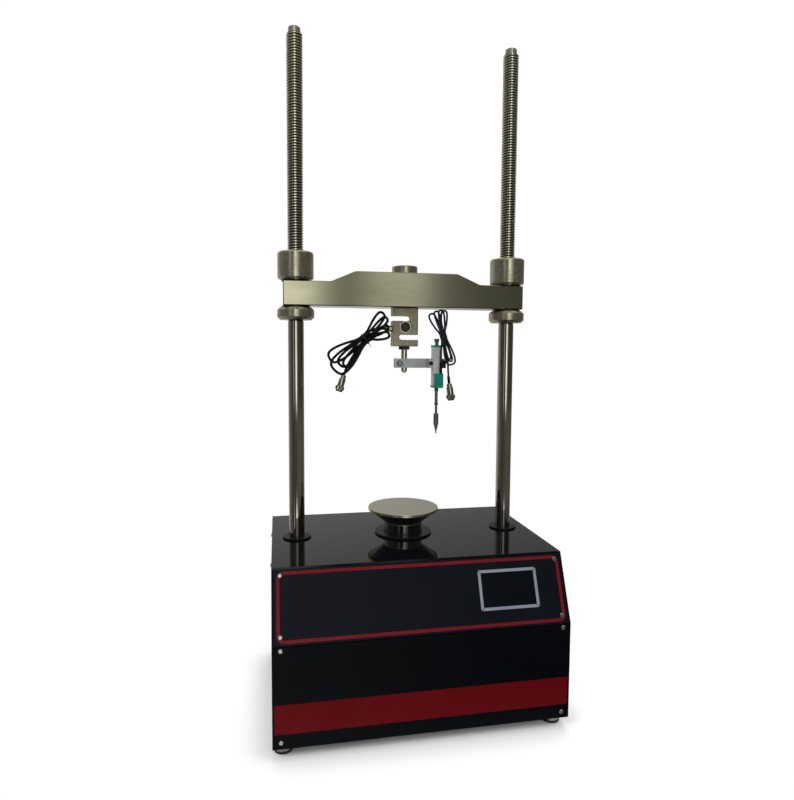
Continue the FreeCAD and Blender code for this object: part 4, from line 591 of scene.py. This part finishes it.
cell_steel = Finish("dull nickel", (140, 136, 114), (116, 112, 92), 40, 2.5)
cell_steel.gloss(0.3, 0.42, 0.7)
cell_steel.grainy(1200, 0.2)
potting = Finish("dark potting", (40, 38, 33), (52, 49, 43), 60, 2)
potting.gloss(0.4, 0.6, specular=0.2)
potting.grainy(900, 0.4)
platen_steel = Finish(
    "turned platen steel", (172, 166, 144), (160, 154, 132), 10, 1.2, centre=(0, RAM_AXIS_Y, 0)
)
platen_steel.gloss(0.2, 0.3, 0.95)
platen_steel.turned(1300, 0.25)
black_oxide = Finish("blackened steel", (20, 20, 21), (30, 30, 31), 50, 2)
black_oxide.gloss(0.3, 0.45, specular=0.3)
black_oxide.grainy(1000, 0.2)
collar_black = Finish("black anodised ring", (7, 7, 8), (11, 11, 12), 50, 2)
collar_black.gloss(0.3, 0.42, specular=0.1)
collar_black.grainy(600, 0.03)
aluminium = Finish("bead-blasted aluminium", (166, 167, 167), (154, 155, 156), 50, 2)
aluminium.gloss(0.34, 0.46, 0.5)
aluminium.grainy(2500, 0.25)
probe_case = Finish("pale anodised case", (188, 188, 186), (176, 176, 173), 40, 2)
probe_case.gloss(0.32, 0.42, 0.4)
probe_case.grainy(2500, 0.15)
green_plastic = Finish("green plastic", (0, 120, 97), (0, 108, 86), 60, 2)
green_plastic.gloss(0.3, 0.42, specular=0.3)
green_plastic.grainy(1800, 0.15)
plunger_steel = Finish("ground steel", (112, 111, 107), (108, 107, 103), 20, 1)
plunger_steel.gloss(0.6, 0.64, 0.85)
connector = Finish("nickel-plated brass", (176, 172, 156), (150, 146, 130), 160, 3)
connector.gloss(0.12, 0.22, 1.0)
connector.grainy(2500, 0.15)
bronze = Finish("bronze", (150, 112, 66), (128, 92, 52), 60, 2)
bronze.gloss(0.3, 0.45, 0.9)
bronze.grainy(1200, 0.2)
black_rubber = Finish("black cable sheath", (6, 6, 7), (11, 11, 12), 90, 2)
black_rubber.gloss(0.4, 0.55, specular=0.15)
black_rubber.grainy(1800, 0.15)
blue_black_rubber = Finish("blue-black sheath", (24, 30, 37), (31, 37, 46), 90, 2)
blue_black_rubber.gloss(0.34, 0.48, specular=0.2)
blue_black_rubber.grainy(1800, 0.15)
black_plastic = Finish("black moulded plastic", (18, 18, 19), (26, 26, 27), 80, 2)
black_plastic.gloss(0.38, 0.5, specular=0.3)
black_plastic.grainy(2200, 0.3)
bright_steel = Finish("bright screw steel", (158, 156, 150), (132, 130, 124), 300, 3)
bright_steel.gloss(0.16, 0.3, 0.85)
bright_steel.grainy(2500, 0.15)
board_green = Finish("circuit board", (20, 72, 44), (16, 58, 36), 120, 2)
board_green.gloss(0.3, 0.4)
board_green.grainy(900, 0.2)

# What each solid wears
dress(gloss_black, "top_cover")
dress(panel_black, "left_side_panel", "right_side_panel", "lower_front_panel", "rear_panel")
dress(navy_foil, "control_panel")
dress(zinc_sheet, "base_plate", "corner_posts", "power_supply", "foot_lock_nuts", "column_anchor_nuts")
dress(raw_steel, "load_plate", "jack_housing", "lead_screw")
dress(ram_chrome, "ram")
dress(polished, "loading_stud")
dress(nickel, "crosshead")
dress(nut_nickel, "centre_bolt", "left_upper_nut", "right_upper_nut", "left_lower_nut", "right_lower_nut")
dress(cell_steel, "load_cell")
dress(platen_steel, "platen")
dress(collar_black, "column_collars", "ram_collar")
dress(black_oxide, "clamp_block", "stud_lock_nut", "drive_motor")
dress(aluminium, "bracket_bar", "drive_plate", "jack_pulley", "motor_pulley")
dress(probe_case, "transducer_body")
dress(green_plastic, "transducer_caps")
dress(plunger_steel, "plunger")
dress(connector, "load_cell_gland", "signal_sockets")
dress(bronze, "guide_bush", "ram_nut")
dress(black_rubber, "cable_sleeve", "timing_belt")
dress(black_plastic, "power_inlet", "power_rocker", "touch_screen")
dress(bright_steel, "panel_screws")
dress(board_green, "control_board")


RUBBER_GREY = (18, 18, 18)
RIM_SHADE_GREY = (26, 26, 26)


def two_part_finish(name, metal, tint, axis, dark_end, metal_end):
    """Bright metal on one side of a place along an axis, and a dark dull finish on the other."""
    finish = Finish(name, metal, tint, 90, 2)
    place = finish.nodes.new("ShaderNodeSeparateXYZ")
    finish.link(finish.coordinates.outputs["Object"], place.inputs[0])
    step = finish.nodes.new("ShaderNodeMapRange")
    step.inputs["From Min"].default_value = dark_end
    step.inputs["From Max"].default_value = metal_end
    finish.link(place.outputs[axis], step.inputs["Value"])
    mix = finish.nodes.new("ShaderNodeMix")
    mix.data_type = "RGBA"
    mix.inputs["A"].default_value = linear(*RUBBER_GREY)
    finish.link(step.outputs["Result"], mix.inputs["Factor"])
    finish.link(finish.mottled.outputs["Color"], mix.inputs["B"])
    finish.link(mix.outputs["Result"], finish.shader.inputs["Base Color"])
    metallic = finish.nodes.new("ShaderNodeMapRange")
    metallic.inputs["To Max"].default_value = 0.8
    finish.link(step.outputs["Result"], metallic.inputs["Value"])
    finish.link(metallic.outputs["Result"], finish.shader.inputs["Metallic"])
    rough = finish.nodes.new("ShaderNodeMapRange")
    rough.inputs["To Min"].default_value = 0.6
    rough.inputs["To Max"].default_value = 0.28
    finish.link(step.outputs["Result"], rough.inputs["Value"])
    finish.link(rough.outputs["Result"], finish.shader.inputs["Roughness"])
    return finish.grainy(1200, 0.15)


def painted_rim_shade(finish, middle, bright_radius, dark_radius):
    """Painted shade round the edge of a screw's head, by the distance from an axis along Y."""
    offset = finish.nodes.new("ShaderNodeVectorMath")
    offset.operation = "SUBTRACT"
    offset.inputs[1].default_value = middle
    flat = finish.nodes.new("ShaderNodeVectorMath")
    flat.operation = "MULTIPLY"
    flat.inputs[1].default_value = (1, 0, 1)
    distance = finish.nodes.new("ShaderNodeVectorMath")
    distance.operation = "LENGTH"
    edge = finish.nodes.new("ShaderNodeMapRange")
    edge.inputs["From Min"].default_value = bright_radius
    edge.inputs["From Max"].default_value = dark_radius
    mix = finish.nodes.new("ShaderNodeMix")
    mix.data_type = "RGBA"
    mix.inputs["B"].default_value = linear(*RIM_SHADE_GREY)
    metal = finish.shader.inputs["Base Color"].links[0].from_socket
    finish.link(finish.coordinates.outputs["Object"], offset.inputs[0])
    finish.link(offset.outputs["Vector"], flat.inputs[0])
    finish.link(flat.outputs["Vector"], distance.inputs[0])
    finish.link(distance.outputs["Value"], edge.inputs["Value"])
    finish.link(edge.outputs["Result"], mix.inputs["Factor"])
    finish.link(metal, mix.inputs["A"])
    finish.link(mix.outputs["Result"], finish.shader.inputs["Base Color"])


FOOT_RUBBER_TOP = 0.0046
FOOT_RUBBER_EDGE = 0.0003
foot_steel = two_part_finish(
    "steel foot on rubber",
    (146, 144, 138),
    (120, 118, 112),
    "Z",
    dark_end=FOOT_RUBBER_TOP,
    metal_end=FOOT_RUBBER_TOP + FOOT_RUBBER_EDGE,
)
dress(foot_steel, "front_left_foot", "front_right_foot", "rear_left_foot", "rear_right_foot")
SCREW_SPLIT_X = 0.02
PINCH_HEAD_RADIUS = 0.0053
screw_pair = two_part_finish(
    "grey and black screws",
    (150, 150, 148),
    (128, 128, 126),
    "X",
    dark_end=SCREW_SPLIT_X + 0.001,
    metal_end=SCREW_SPLIT_X,
)
# Painted shade round the edge of the pinch screw's head.
screw_low, screw_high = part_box("bracket_screws")
painted_rim_shade(
    screw_pair,
    middle=(screw_low[0] + PINCH_HEAD_RADIUS, 0, (screw_low[2] + screw_high[2]) / 2),
    bright_radius=PINCH_HEAD_RADIUS - 0.0017,
    dark_radius=PINCH_HEAD_RADIUS - 0.0011,
)
dress(screw_pair, "bracket_screws")


# Printed foils and the screen
def on_slope(name, bm):
    """Lays a flat plate on the sloping panel."""
    bmesh.ops.transform(bm, matrix=slope_matrix(), verts=bm.verts)
    return finish_piece(name, bm, "console")


# Heights above their sheet: the prints' underside and face, and those of the frame and the glass.
PRINT_LOW = 0.00006
PRINT_HIGH = 0.00022
SCREEN_LOW = 0.00005
FRAME_HIGH = 0.0009
GLASS_HIGH = 0.0004
border = on_slope(
    "control_border",
    rounded_plate(
        -0.252, 0.252, 0.0040, 0.1170, corner=0.012, low=PRINT_LOW, high=PRINT_HIGH, rim=0.0054
    ),
)
dress(red_print, border)
screen_frame = on_slope(
    "screen_frame",
    rounded_plate(
        0.0981, 0.2065, 0.0308, 0.0988, corner=0.0025, low=SCREEN_LOW, high=FRAME_HIGH, rim=0.005
    ),
)
dress(grey_frame, screen_frame)
display = on_slope(
    "screen_display",
    rounded_plate(0.1029, 0.2017, 0.0356, 0.094, corner=0.001, low=SCREEN_LOW, high=GLASS_HIGH),
)
dress(screen_glass, display)


def lower_band():
    """The red band across the upright front sheet."""
    bm = rounded_plate(
        -0.2565, 0.2565, 0.047, 0.097, corner=0.0002, low=PRINT_LOW, high=PRINT_HIGH
    )
    upright = Matrix.Rotation(math.pi / 2, 3, "X")
    bmesh.ops.rotate(bm, verts=bm.verts, cent=(0, 0, 0), matrix=upright)
    bmesh.ops.translate(bm, verts=bm.verts, vec=(0, FRONT_Y, 0))
    return finish_piece("lower_band", bm, "console")


dress(band_print, lower_band())


# Threaded columns, with their profiles as (radius, height)
THREAD_PROFILE = (
    (THREAD_CREST, 0),
    (THREAD_CREST, 0.0015),
    (THREAD_ROOT, 0.0024),
    (THREAD_ROOT, 0.0040),
    (THREAD_CREST, THREAD_PITCH),
)
THREAD_LOW = 0.731
THREAD_HIGH = 1.2555
TURN_STEPS = 36


def threaded_rod():
    """One turn of the thread, doubled until it is long enough, and cut square at both ends."""
    bm = bmesh.new()
    corners = [bm.verts.new((radius, 0, height)) for radius, height in THREAD_PROFILE]
    edges = [bm.edges.new(pair) for pair in zip(corners, corners[1:])]
    bmesh.ops.spin(
        bm,
        geom=corners + edges,
        cent=(0, 0, 0),
        axis=(0, 0, 1),
        dvec=(0, 0, THREAD_PITCH / TURN_STEPS),
        angle=math.tau,
        steps=TURN_STEPS,
    )
    length = THREAD_PITCH
    while length < THREAD_HIGH - THREAD_LOW + 3 * THREAD_PITCH:
        made = bmesh.ops.duplicate(bm, geom=bm.verts[:] + bm.edges[:] + bm.faces[:])
        moved = [part for part in made["geom"] if isinstance(part, bmesh.types.BMVert)]
        bmesh.ops.translate(bm, verts=moved, vec=(0, 0, length))
        length *= 2
    bmesh.ops.remove_doubles(bm, verts=bm.verts, dist=1e-5)
    bmesh.ops.translate(bm, verts=bm.verts, vec=(0, 0, THREAD_LOW - 1.5 * THREAD_PITCH))
    for height, normal in ((THREAD_LOW, (0, 0, -1)), (THREAD_HIGH, (0, 0, 1))):
        cut = bmesh.ops.bisect_plane(
            bm,
            geom=bm.verts[:] + bm.edges[:] + bm.faces[:],
            dist=1e-7,
            plane_co=(0, 0, height),
            plane_no=normal,
            clear_outer=True,
        )
        rim = [part for part in cut["geom_cut"] if isinstance(part, bmesh.types.BMEdge)]
        bmesh.ops.triangle_fill(bm, edges=rim, use_beauty=True)
    return bm


def threaded_column(side, x):
    """A column's smooth shaft, its thread and its turned-down end."""
    shaft = lathe(
        [
            (0, COLUMN_FOOT_Z),
            (COLUMN_SPIGOT_RADIUS - 0.001, COLUMN_FOOT_Z),
            (COLUMN_SPIGOT_RADIUS, COLUMN_FOOT_Z + 0.001),
            (COLUMN_SPIGOT_RADIUS, COLUMN_SHOULDER_Z),
            (THREAD_CREST, COLUMN_SHOULDER_Z),
            (THREAD_CREST, THREAD_LOW - 0.002),
            (THREAD_ROOT, THREAD_LOW + 0.0005),
            (0, THREAD_LOW + 0.0005),
        ]
    )
    end = lathe(
        [
            (0, THREAD_HIGH - 0.002),
            (0.0127, THREAD_HIGH - 0.002),
            (0.0127, 1.257),
            (0.01125, 1.257),
            (0.01125, 1.2658),
            (0.01025, COLUMN_TOP_Z),
            (0.004, COLUMN_TOP_Z),
            (0.0032, 1.2655),
            (0, 1.2648),
        ]
    )
    for name, part, finish in (
        ("shaft", shaft, chrome),
        ("thread", threaded_rod(), groove_finish(side, x)),
        ("end", end, bright_end),
    ):
        bmesh.ops.translate(part, verts=part.verts, vec=(x, RAM_AXIS_Y, 0))
        piece = finish_piece(f"{side}_column_{name}", part, "console")
        dress(finish, piece)
        if name == "shaft":
            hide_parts(f"{side}_column")


threaded_column("left", -COLUMN_X)
threaded_column("right", COLUMN_X)


# Load cell's recesses, on both faces: a dark filling in a bright ring
RECESS_RADIUS = 0.0116
RECESS_FILL = 0.0096
RECESS_FLOOR = 0.0091
RECESS_FACE = 0.0105
RING_PROUD = 1.04


def recess_piece(name, profile, finish):
    """Turned about the load cell's level axis."""
    bm = lathe(profile, segments=48)
    level = Matrix.Rotation(-math.pi / 2, 3, "X")
    bmesh.ops.rotate(bm, verts=bm.verts, cent=(0, 0, 0), matrix=level)
    bmesh.ops.translate(bm, verts=bm.verts, vec=(0, RAM_AXIS_Y, LOAD_CELL_Z))
    dress(finish, finish_piece(name, bm, "crosshead"))


for end, side in (("front", -1), ("rear", 1)):
    near = side * RECESS_FLOOR
    far = side * RECESS_FACE
    recess_piece(
        f"{end}_recess_fill",
        [(0, near), (RECESS_FILL, near), (RECESS_FILL, far), (0, far)],
        potting,
    )
    recess_piece(
        f"{end}_recess_ring",
        [
            (RECESS_FILL + 0.0002, near),
            (RECESS_RADIUS, near),
            (RECESS_RADIUS, far),
            (RECESS_RADIUS - 0.0006, far * RING_PROUD),
            (RECESS_FILL + 0.0006, far * RING_PROUD),
            (RECESS_FILL + 0.0002, far),
            (RECESS_FILL + 0.0002, near),
        ],
        polished,
    )


# Cable plugs
PLUG_LENGTH = 0.033


def knurled(radius, depth, count, low, high):
    """A ring of fine ridges, as a closed solid."""
    bm = bmesh.new()
    bmesh.ops.create_circle(bm, segments=count * 2, radius=radius, cap_ends=True)
    bmesh.ops.translate(bm, verts=bm.verts, vec=(0, 0, low))
    for number, vertex in enumerate(list(bm.verts)):
        if number % 2:
            shrink = (radius - depth) / radius
            vertex.co.x *= shrink
            vertex.co.y *= shrink
    result = bmesh.ops.extrude_face_region(bm, geom=list(bm.faces))
    moved = [part for part in result["geom"] if isinstance(part, bmesh.types.BMVert)]
    bmesh.ops.translate(bm, verts=moved, vec=(0, 0, high - low))
    return bm


def plug_insert():
    """The dark end of a plug, which its shell holds."""
    profile = [(0, 0), (0.0061, 0), (0.0066, 0.0005), (0.0066, 0.0028), (0, 0.0028)]
    return lathe(profile, segments=48)


def cable_plug(name, route, body):
    """A round plug at a cable's end, in line with its last stretch."""
    before, end = in_metres(route[-2:])
    away = (end - before).normalized()
    face = end + away * PLUG_LENGTH
    place = Matrix.Translation(face) @ (-away).to_track_quat("Z", "Y").to_matrix().to_4x4()
    shell = lathe(
        [
            (0, 0.0024),
            (0.0067, 0.0024),
            (0.0067, 0.0034),
            (0.0080, 0.0034),
            (0.0080, 0.0108),
            (0.0065, 0.0112),
            (0.0065, 0.0244),
            (0.0052, 0.0268),
            (0.0050, 0.0275),
            (0.0050, 0.0315),
            (0.0040, PLUG_LENGTH),
            (0, PLUG_LENGTH),
        ],
        segments=48,
    )
    ring = knurled(radius=0.00875, depth=0.0005, count=26, low=0.0040, high=0.0102)
    nut = knurled(radius=0.00525, depth=0.0004, count=12, low=0.0282, high=0.0312)
    pieces = []
    for part_name, bm, finish in (
        ("shell", shell, connector),
        ("ring", ring, connector),
        ("nut", nut, connector),
        ("insert", plug_insert(), black_plastic),
    ):
        bmesh.ops.transform(bm, matrix=place, verts=bm.verts)
        piece = finish_piece(f"{name}_{part_name}", bm, body)
        dress(finish, piece)
        pieces.append(piece)
    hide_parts(name)
    return pieces


cell_plug = cable_plug("load_cell_plug", CELL_ROUTE, "crosshead")
probe_plug = cable_plug("transducer_plug", PROBE_ROUTE, "transducer")


# Ties and heat-shrink sleeve on the cables
TIE_WIDTH = 0.0022
TIE_THICKNESS = 0.0009
TIE_TAIL_THICKNESS = 0.001
TIE_TAIL_OVERLAP = 0.001


def tie_band(name, centre, along, half_width, half_depth, body, tail=None):
    """A narrow band round a hank, with its cut end sticking out."""
    bm = bmesh.new()
    bmesh.ops.create_circle(bm, segments=32, radius=1)
    bmesh.ops.scale(bm, vec=(half_width, half_depth, 1), verts=bm.verts)
    result = bmesh.ops.extrude_edge_only(bm, edges=list(bm.edges))
    moved = [part for part in result["geom"] if isinstance(part, bmesh.types.BMVert)]
    bmesh.ops.translate(bm, verts=moved, vec=(0, 0, TIE_WIDTH))
    bmesh.ops.recalc_face_normals(bm, faces=bm.faces)
    bmesh.ops.solidify(bm, geom=list(bm.faces), thickness=-TIE_THICKNESS)
    if tail:
        made = bmesh.ops.create_cube(bm, size=1)
        middle = (half_width + tail / 2 - TIE_TAIL_OVERLAP, 0, TIE_WIDTH / 2)
        bmesh.ops.scale(bm, vec=(tail, TIE_WIDTH, TIE_TAIL_THICKNESS), verts=made["verts"])
        bmesh.ops.translate(bm, verts=made["verts"], vec=middle)
    direction = Vector((along[0], 0, along[1])).normalized()
    across = Vector((direction.z, 0, -direction.x))
    turn = Matrix((across, Vector((0, 1, 0)), direction)).transposed().to_4x4()
    place = Matrix.Translation(centre) @ turn
    bmesh.ops.transform(bm, matrix=place, verts=bm.verts)
    piece = finish_piece(name, bm, body, smooth_angle=50)
    dress(black_plastic, piece)
    return piece


cell_tie = tie_band(
    "load_cell_cable_tie",
    centre=Vector((-0.0812, RAM_AXIS_Y - 0.0138, 0.6957)),
    along=(0.766, 0.643),
    half_width=0.0108,
    half_depth=0.0086,
    body="crosshead",
    tail=0.009,
)
probe_tie = tie_band(
    "transducer_cable_tie",
    centre=Vector((0.0708, RAM_AXIS_Y - 0.0346, 0.7003)),
    along=(-0.287, 0.958),
    half_width=0.0066,
    half_depth=0.0066,
    body="transducer",
)


def shrink_sleeve():
    """Follows the last stretch of the transducer's cable."""
    start, end = in_metres(PROBE_ROUTE[-2:])
    away = (end - start).normalized()
    bm = lathe(
        [
            (0, 0),
            (0.0019, 0),
            (0.0026, 0.0006),
            (0.0028, 0.003),
            (0.0028, 0.0128),
            (0.0024, 0.0142),
            (0, 0.0142),
        ],
        segments=32,
    )
    place = Matrix.Translation(end) @ (-away).to_track_quat("Z", "Y").to_matrix().to_4x4()
    bmesh.ops.transform(bm, matrix=place, verts=bm.verts)
    piece = finish_piece("transducer_shrink_sleeve", bm, "transducer")
    dress(black_rubber, piece)
    return piece


sleeve = shrink_sleeve()


# Cords
cell_cord = add_cable("load_cell_cord", CELL_ROUTE, CELL_CABLE)
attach(cell_cord, "crosshead")
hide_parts("load_cell_cable", "load_cell_hank")
dress(black_rubber, cell_cord)
probe_cord = add_cable("transducer_cord", PROBE_ROUTE, PROBE_CABLE)
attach(probe_cord, "transducer")
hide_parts("transducer_cable", "transducer_hank")
dress(blue_black_rubber, probe_cord)


# Floor, light and world
AMBIENT_LEVEL = 0.55
SHADOW_REACH = 0.07
FLOOR_HALF = 6
STUDIO_LEVEL = 2.8
CEILING_LEVEL = 0.28
CEILING_HEIGHTS = (0.35, 0.8)
# Brightness round the studio as metal mirrors it, by degrees rightwards from straight ahead.
STUDIO_WALLS = (
    (-180, 0.21),
    (-140, 0.25),
    (-105, 0.08),
    (-44, 0.025),
    (-36, 0.3),
    (-28, 0.025),
    (-10, 0.03),
    (-7, 1),
    (3, 1),
    (5, 0.05),
    (6.5, 0.06),
    (10, 0.5),
    (13, 0.5),
    (16, 0.08),
    (26, 0.03),
    (95, 0.03),
    (145, 0.12),
    (180, 0.21),
)
# The same in a low band of the studio, under its windows.
LOW_WALLS = (
    (-180, 0.21),
    (-140, 0.25),
    (-105, 0.08),
    (-44, 0.025),
    (-36, 0.05),
    (-28, 0.025),
    (-8, 0.05),
    (-2, 0.012),
    (4, 0.05),
    (12, 0.05),
    (40, 0.06),
    (95, 0.05),
    (145, 0.12),
    (180, 0.21),
)
# Heights on a unit sphere between which the low band begins and gives way to the windows.
LOW_BAND_FOOT = (-0.27, -0.235)
LOW_BAND_HEAD = (-0.11, -0.07)


def math_node(tree, operation, first, second):
    """A Math node whose two inputs are sockets or numbers."""
    node = tree.nodes.new("ShaderNodeMath")
    node.operation = operation
    for socket, value in zip(node.inputs, (first, second)):
        if isinstance(value, (int, float)):
            socket.default_value = value
        else:
            tree.links.new(value, socket)
    return node.outputs[0]


def mirrored(tree, path):
    """1 for what a reflection or glass sees."""
    reflected = path.outputs["Is Glossy Ray"]
    through = path.outputs["Is Transmission Ray"]
    return math_node(tree, "MAXIMUM", reflected, through)


def add_floor():
    """Keeps the shadow near the console, is white for the camera further out, and lets mirrored rays
    through there to the studio's walls."""
    bm = bmesh.new()
    bmesh.ops.create_grid(bm, x_segments=1, y_segments=1, size=FLOOR_HALF)
    mesh = bpy.data.meshes.new("floor")
    bm.to_mesh(mesh)
    bm.free()
    floor = bpy.data.objects.new("floor", mesh)
    scene.collection.objects.link(floor)
    material = bpy.data.materials.new("pale floor")
    material.use_nodes = True
    tree = material.node_tree
    shader = tree.nodes["Principled BSDF"]
    shader.inputs["Base Color"].default_value = (0.9, 0.9, 0.9, 1)
    shader.inputs["Roughness"].default_value = 0.9
    shader.inputs["Specular IOR Level"].default_value = 0
    path = tree.nodes.new("ShaderNodeLightPath")
    glow = tree.nodes.new("ShaderNodeEmission")
    tree.links.new(path.outputs["Is Camera Ray"], glow.inputs["Strength"])
    open_floor = tree.nodes.new("ShaderNodeBsdfTransparent")
    far = tree.nodes.new("ShaderNodeMixShader")
    tree.links.new(mirrored(tree, path), far.inputs["Fac"])
    tree.links.new(glow.outputs[0], far.inputs[1])
    tree.links.new(open_floor.outputs[0], far.inputs[2])
    position = tree.nodes.new("ShaderNodeNewGeometry")
    aside = tree.nodes.new("ShaderNodeVectorMath")
    aside.operation = "ABSOLUTE"
    beyond = tree.nodes.new("ShaderNodeVectorMath")
    beyond.operation = "SUBTRACT"
    beyond.inputs[1].default_value = (*CONSOLE_HALF, 0)
    outside = tree.nodes.new("ShaderNodeVectorMath")
    outside.operation = "MAXIMUM"
    length = tree.nodes.new("ShaderNodeVectorMath")
    length.operation = "LENGTH"
    fade = tree.nodes.new("ShaderNodeMapRange")
    fade.interpolation_type = "SMOOTHSTEP"
    fade.inputs["From Max"].default_value = SHADOW_REACH
    mix = tree.nodes.new("ShaderNodeMixShader")
    tree.links.new(position.outputs["Position"], aside.inputs[0])
    tree.links.new(aside.outputs["Vector"], beyond.inputs[0])
    tree.links.new(beyond.outputs["Vector"], outside.inputs[0])
    tree.links.new(outside.outputs["Vector"], length.inputs[0])
    tree.links.new(length.outputs["Value"], fade.inputs["Value"])
    tree.links.new(fade.outputs["Result"], mix.inputs["Fac"])
    tree.links.new(shader.outputs[0], mix.inputs[1])
    tree.links.new(far.outputs[0], mix.inputs[2])
    tree.links.new(mix.outputs[0], tree.nodes["Material Output"].inputs["Surface"])
    mesh.materials.append(material)


def wall_ramp(tree, share, levels):
    """Brightness all round, from a share of a turn."""
    walls = tree.nodes.new("ShaderNodeValToRGB")
    walls.color_ramp.interpolation = "EASE"
    stops = walls.color_ramp.elements
    while len(stops) < len(levels):
        stops.new(0.5)
    for stop, (degrees, level) in zip(stops, levels):
        stop.position = degrees / 360 + 0.5
        stop.color = (level, level, level, 1)
    tree.links.new(share, walls.inputs["Fac"])
    return walls.outputs["Color"]


def rise(tree, height, low, high):
    """0 below one height and 1 above another, with a smooth change between."""
    step = tree.nodes.new("ShaderNodeMapRange")
    step.interpolation_type = "SMOOTHSTEP"
    step.inputs["From Min"].default_value = low
    step.inputs["From Max"].default_value = high
    tree.links.new(height, step.inputs["Value"])
    return step.outputs["Result"]


def studio_level(tree):
    """The studio's brightness in a direction: its walls, their low band and the ceiling."""
    coordinates = tree.nodes.new("ShaderNodeTexCoord")
    split = tree.nodes.new("ShaderNodeSeparateXYZ")
    tree.links.new(coordinates.outputs["Generated"], split.inputs[0])
    forwards = math_node(tree, "MULTIPLY", split.outputs["Y"], -1)
    azimuth = math_node(tree, "ARCTAN2", split.outputs["X"], forwards)
    turns = math_node(tree, "MULTIPLY", azimuth, 1 / math.tau)
    share = math_node(tree, "ADD", turns, 0.5)
    height = split.outputs["Z"]
    above_foot = rise(tree, height, *LOW_BAND_FOOT)
    windows = rise(tree, height, *LOW_BAND_HEAD)
    under = math_node(tree, "SUBTRACT", 1, windows)
    walls = tree.nodes.new("ShaderNodeMix")
    tree.links.new(math_node(tree, "MULTIPLY", above_foot, under), walls.inputs["Factor"])
    tree.links.new(wall_ramp(tree, share, STUDIO_WALLS), walls.inputs["A"])
    tree.links.new(wall_ramp(tree, share, LOW_WALLS), walls.inputs["B"])
    ceiling = math_node(tree, "MULTIPLY", rise(tree, height, *CEILING_HEIGHTS), CEILING_LEVEL)
    brighter = math_node(tree, "MAXIMUM", walls.outputs["Result"], ceiling)
    return math_node(tree, "MULTIPLY", brighter, STUDIO_LEVEL)


def add_world():
    """Even light on the object, white behind it, and the studio in what is mirrored."""
    world = bpy.data.worlds.new("studio")
    scene.world = world
    world.use_nodes = True
    tree = world.node_tree
    path = tree.nodes.new("ShaderNodeLightPath")
    light = tree.nodes["Background"]
    light.inputs["Color"].default_value = (1, 1, 1, 1)
    light.inputs["Strength"].default_value = AMBIENT_LEVEL
    backdrop = tree.nodes.new("ShaderNodeBackground")
    backdrop.inputs["Color"].default_value = (1, 1, 1, 1)
    seen = tree.nodes.new("ShaderNodeMix")
    seen.inputs["B"].default_value = 1
    tree.links.new(path.outputs["Is Camera Ray"], seen.inputs["Factor"])
    tree.links.new(studio_level(tree), seen.inputs["A"])
    tree.links.new(seen.outputs["Result"], backdrop.inputs["Strength"])
    direct = math_node(tree, "MAXIMUM", path.outputs["Is Camera Ray"], mirrored(tree, path))
    mix = tree.nodes.new("ShaderNodeMixShader")
    tree.links.new(direct, mix.inputs["Fac"])
    tree.links.new(light.outputs[0], mix.inputs[1])
    tree.links.new(backdrop.outputs[0], mix.inputs[2])
    tree.links.new(mix.outputs[0], tree.nodes["World Output"].inputs["Surface"])


def add_softbox(name, place, target, width, height, power):
    """Lights the object, but isn't mirrored in it."""
    data = bpy.data.lights.new(name, "AREA")
    data.shape = "RECTANGLE"
    data.size = width
    data.size_y = height
    data.energy = power
    lamp = bpy.data.objects.new(name, data)
    lamp.visible_glossy = False
    direction = Vector(target) - Vector(place)
    turn = direction.to_track_quat("-Z", "Y").to_matrix().to_4x4()
    lamp.matrix_world = Matrix.Translation(place) @ turn
    scene.collection.objects.link(lamp)


add_floor()
add_world()
add_softbox("left softbox", (-2.2, -1.9, 2.3), (0, 0, 0.5), width=1.2, height=1.6, power=60)
add_softbox("right softbox", (2.3, -1.6, 1.8), (0, 0, 0.5), width=0.8, height=1.4, power=30)
add_softbox("top softbox", (0.2, 0.3, 3.2), (0, 0, 0.4), width=1.8, height=1.8, power=50)

scene.view_settings.view_transform = "Standard"
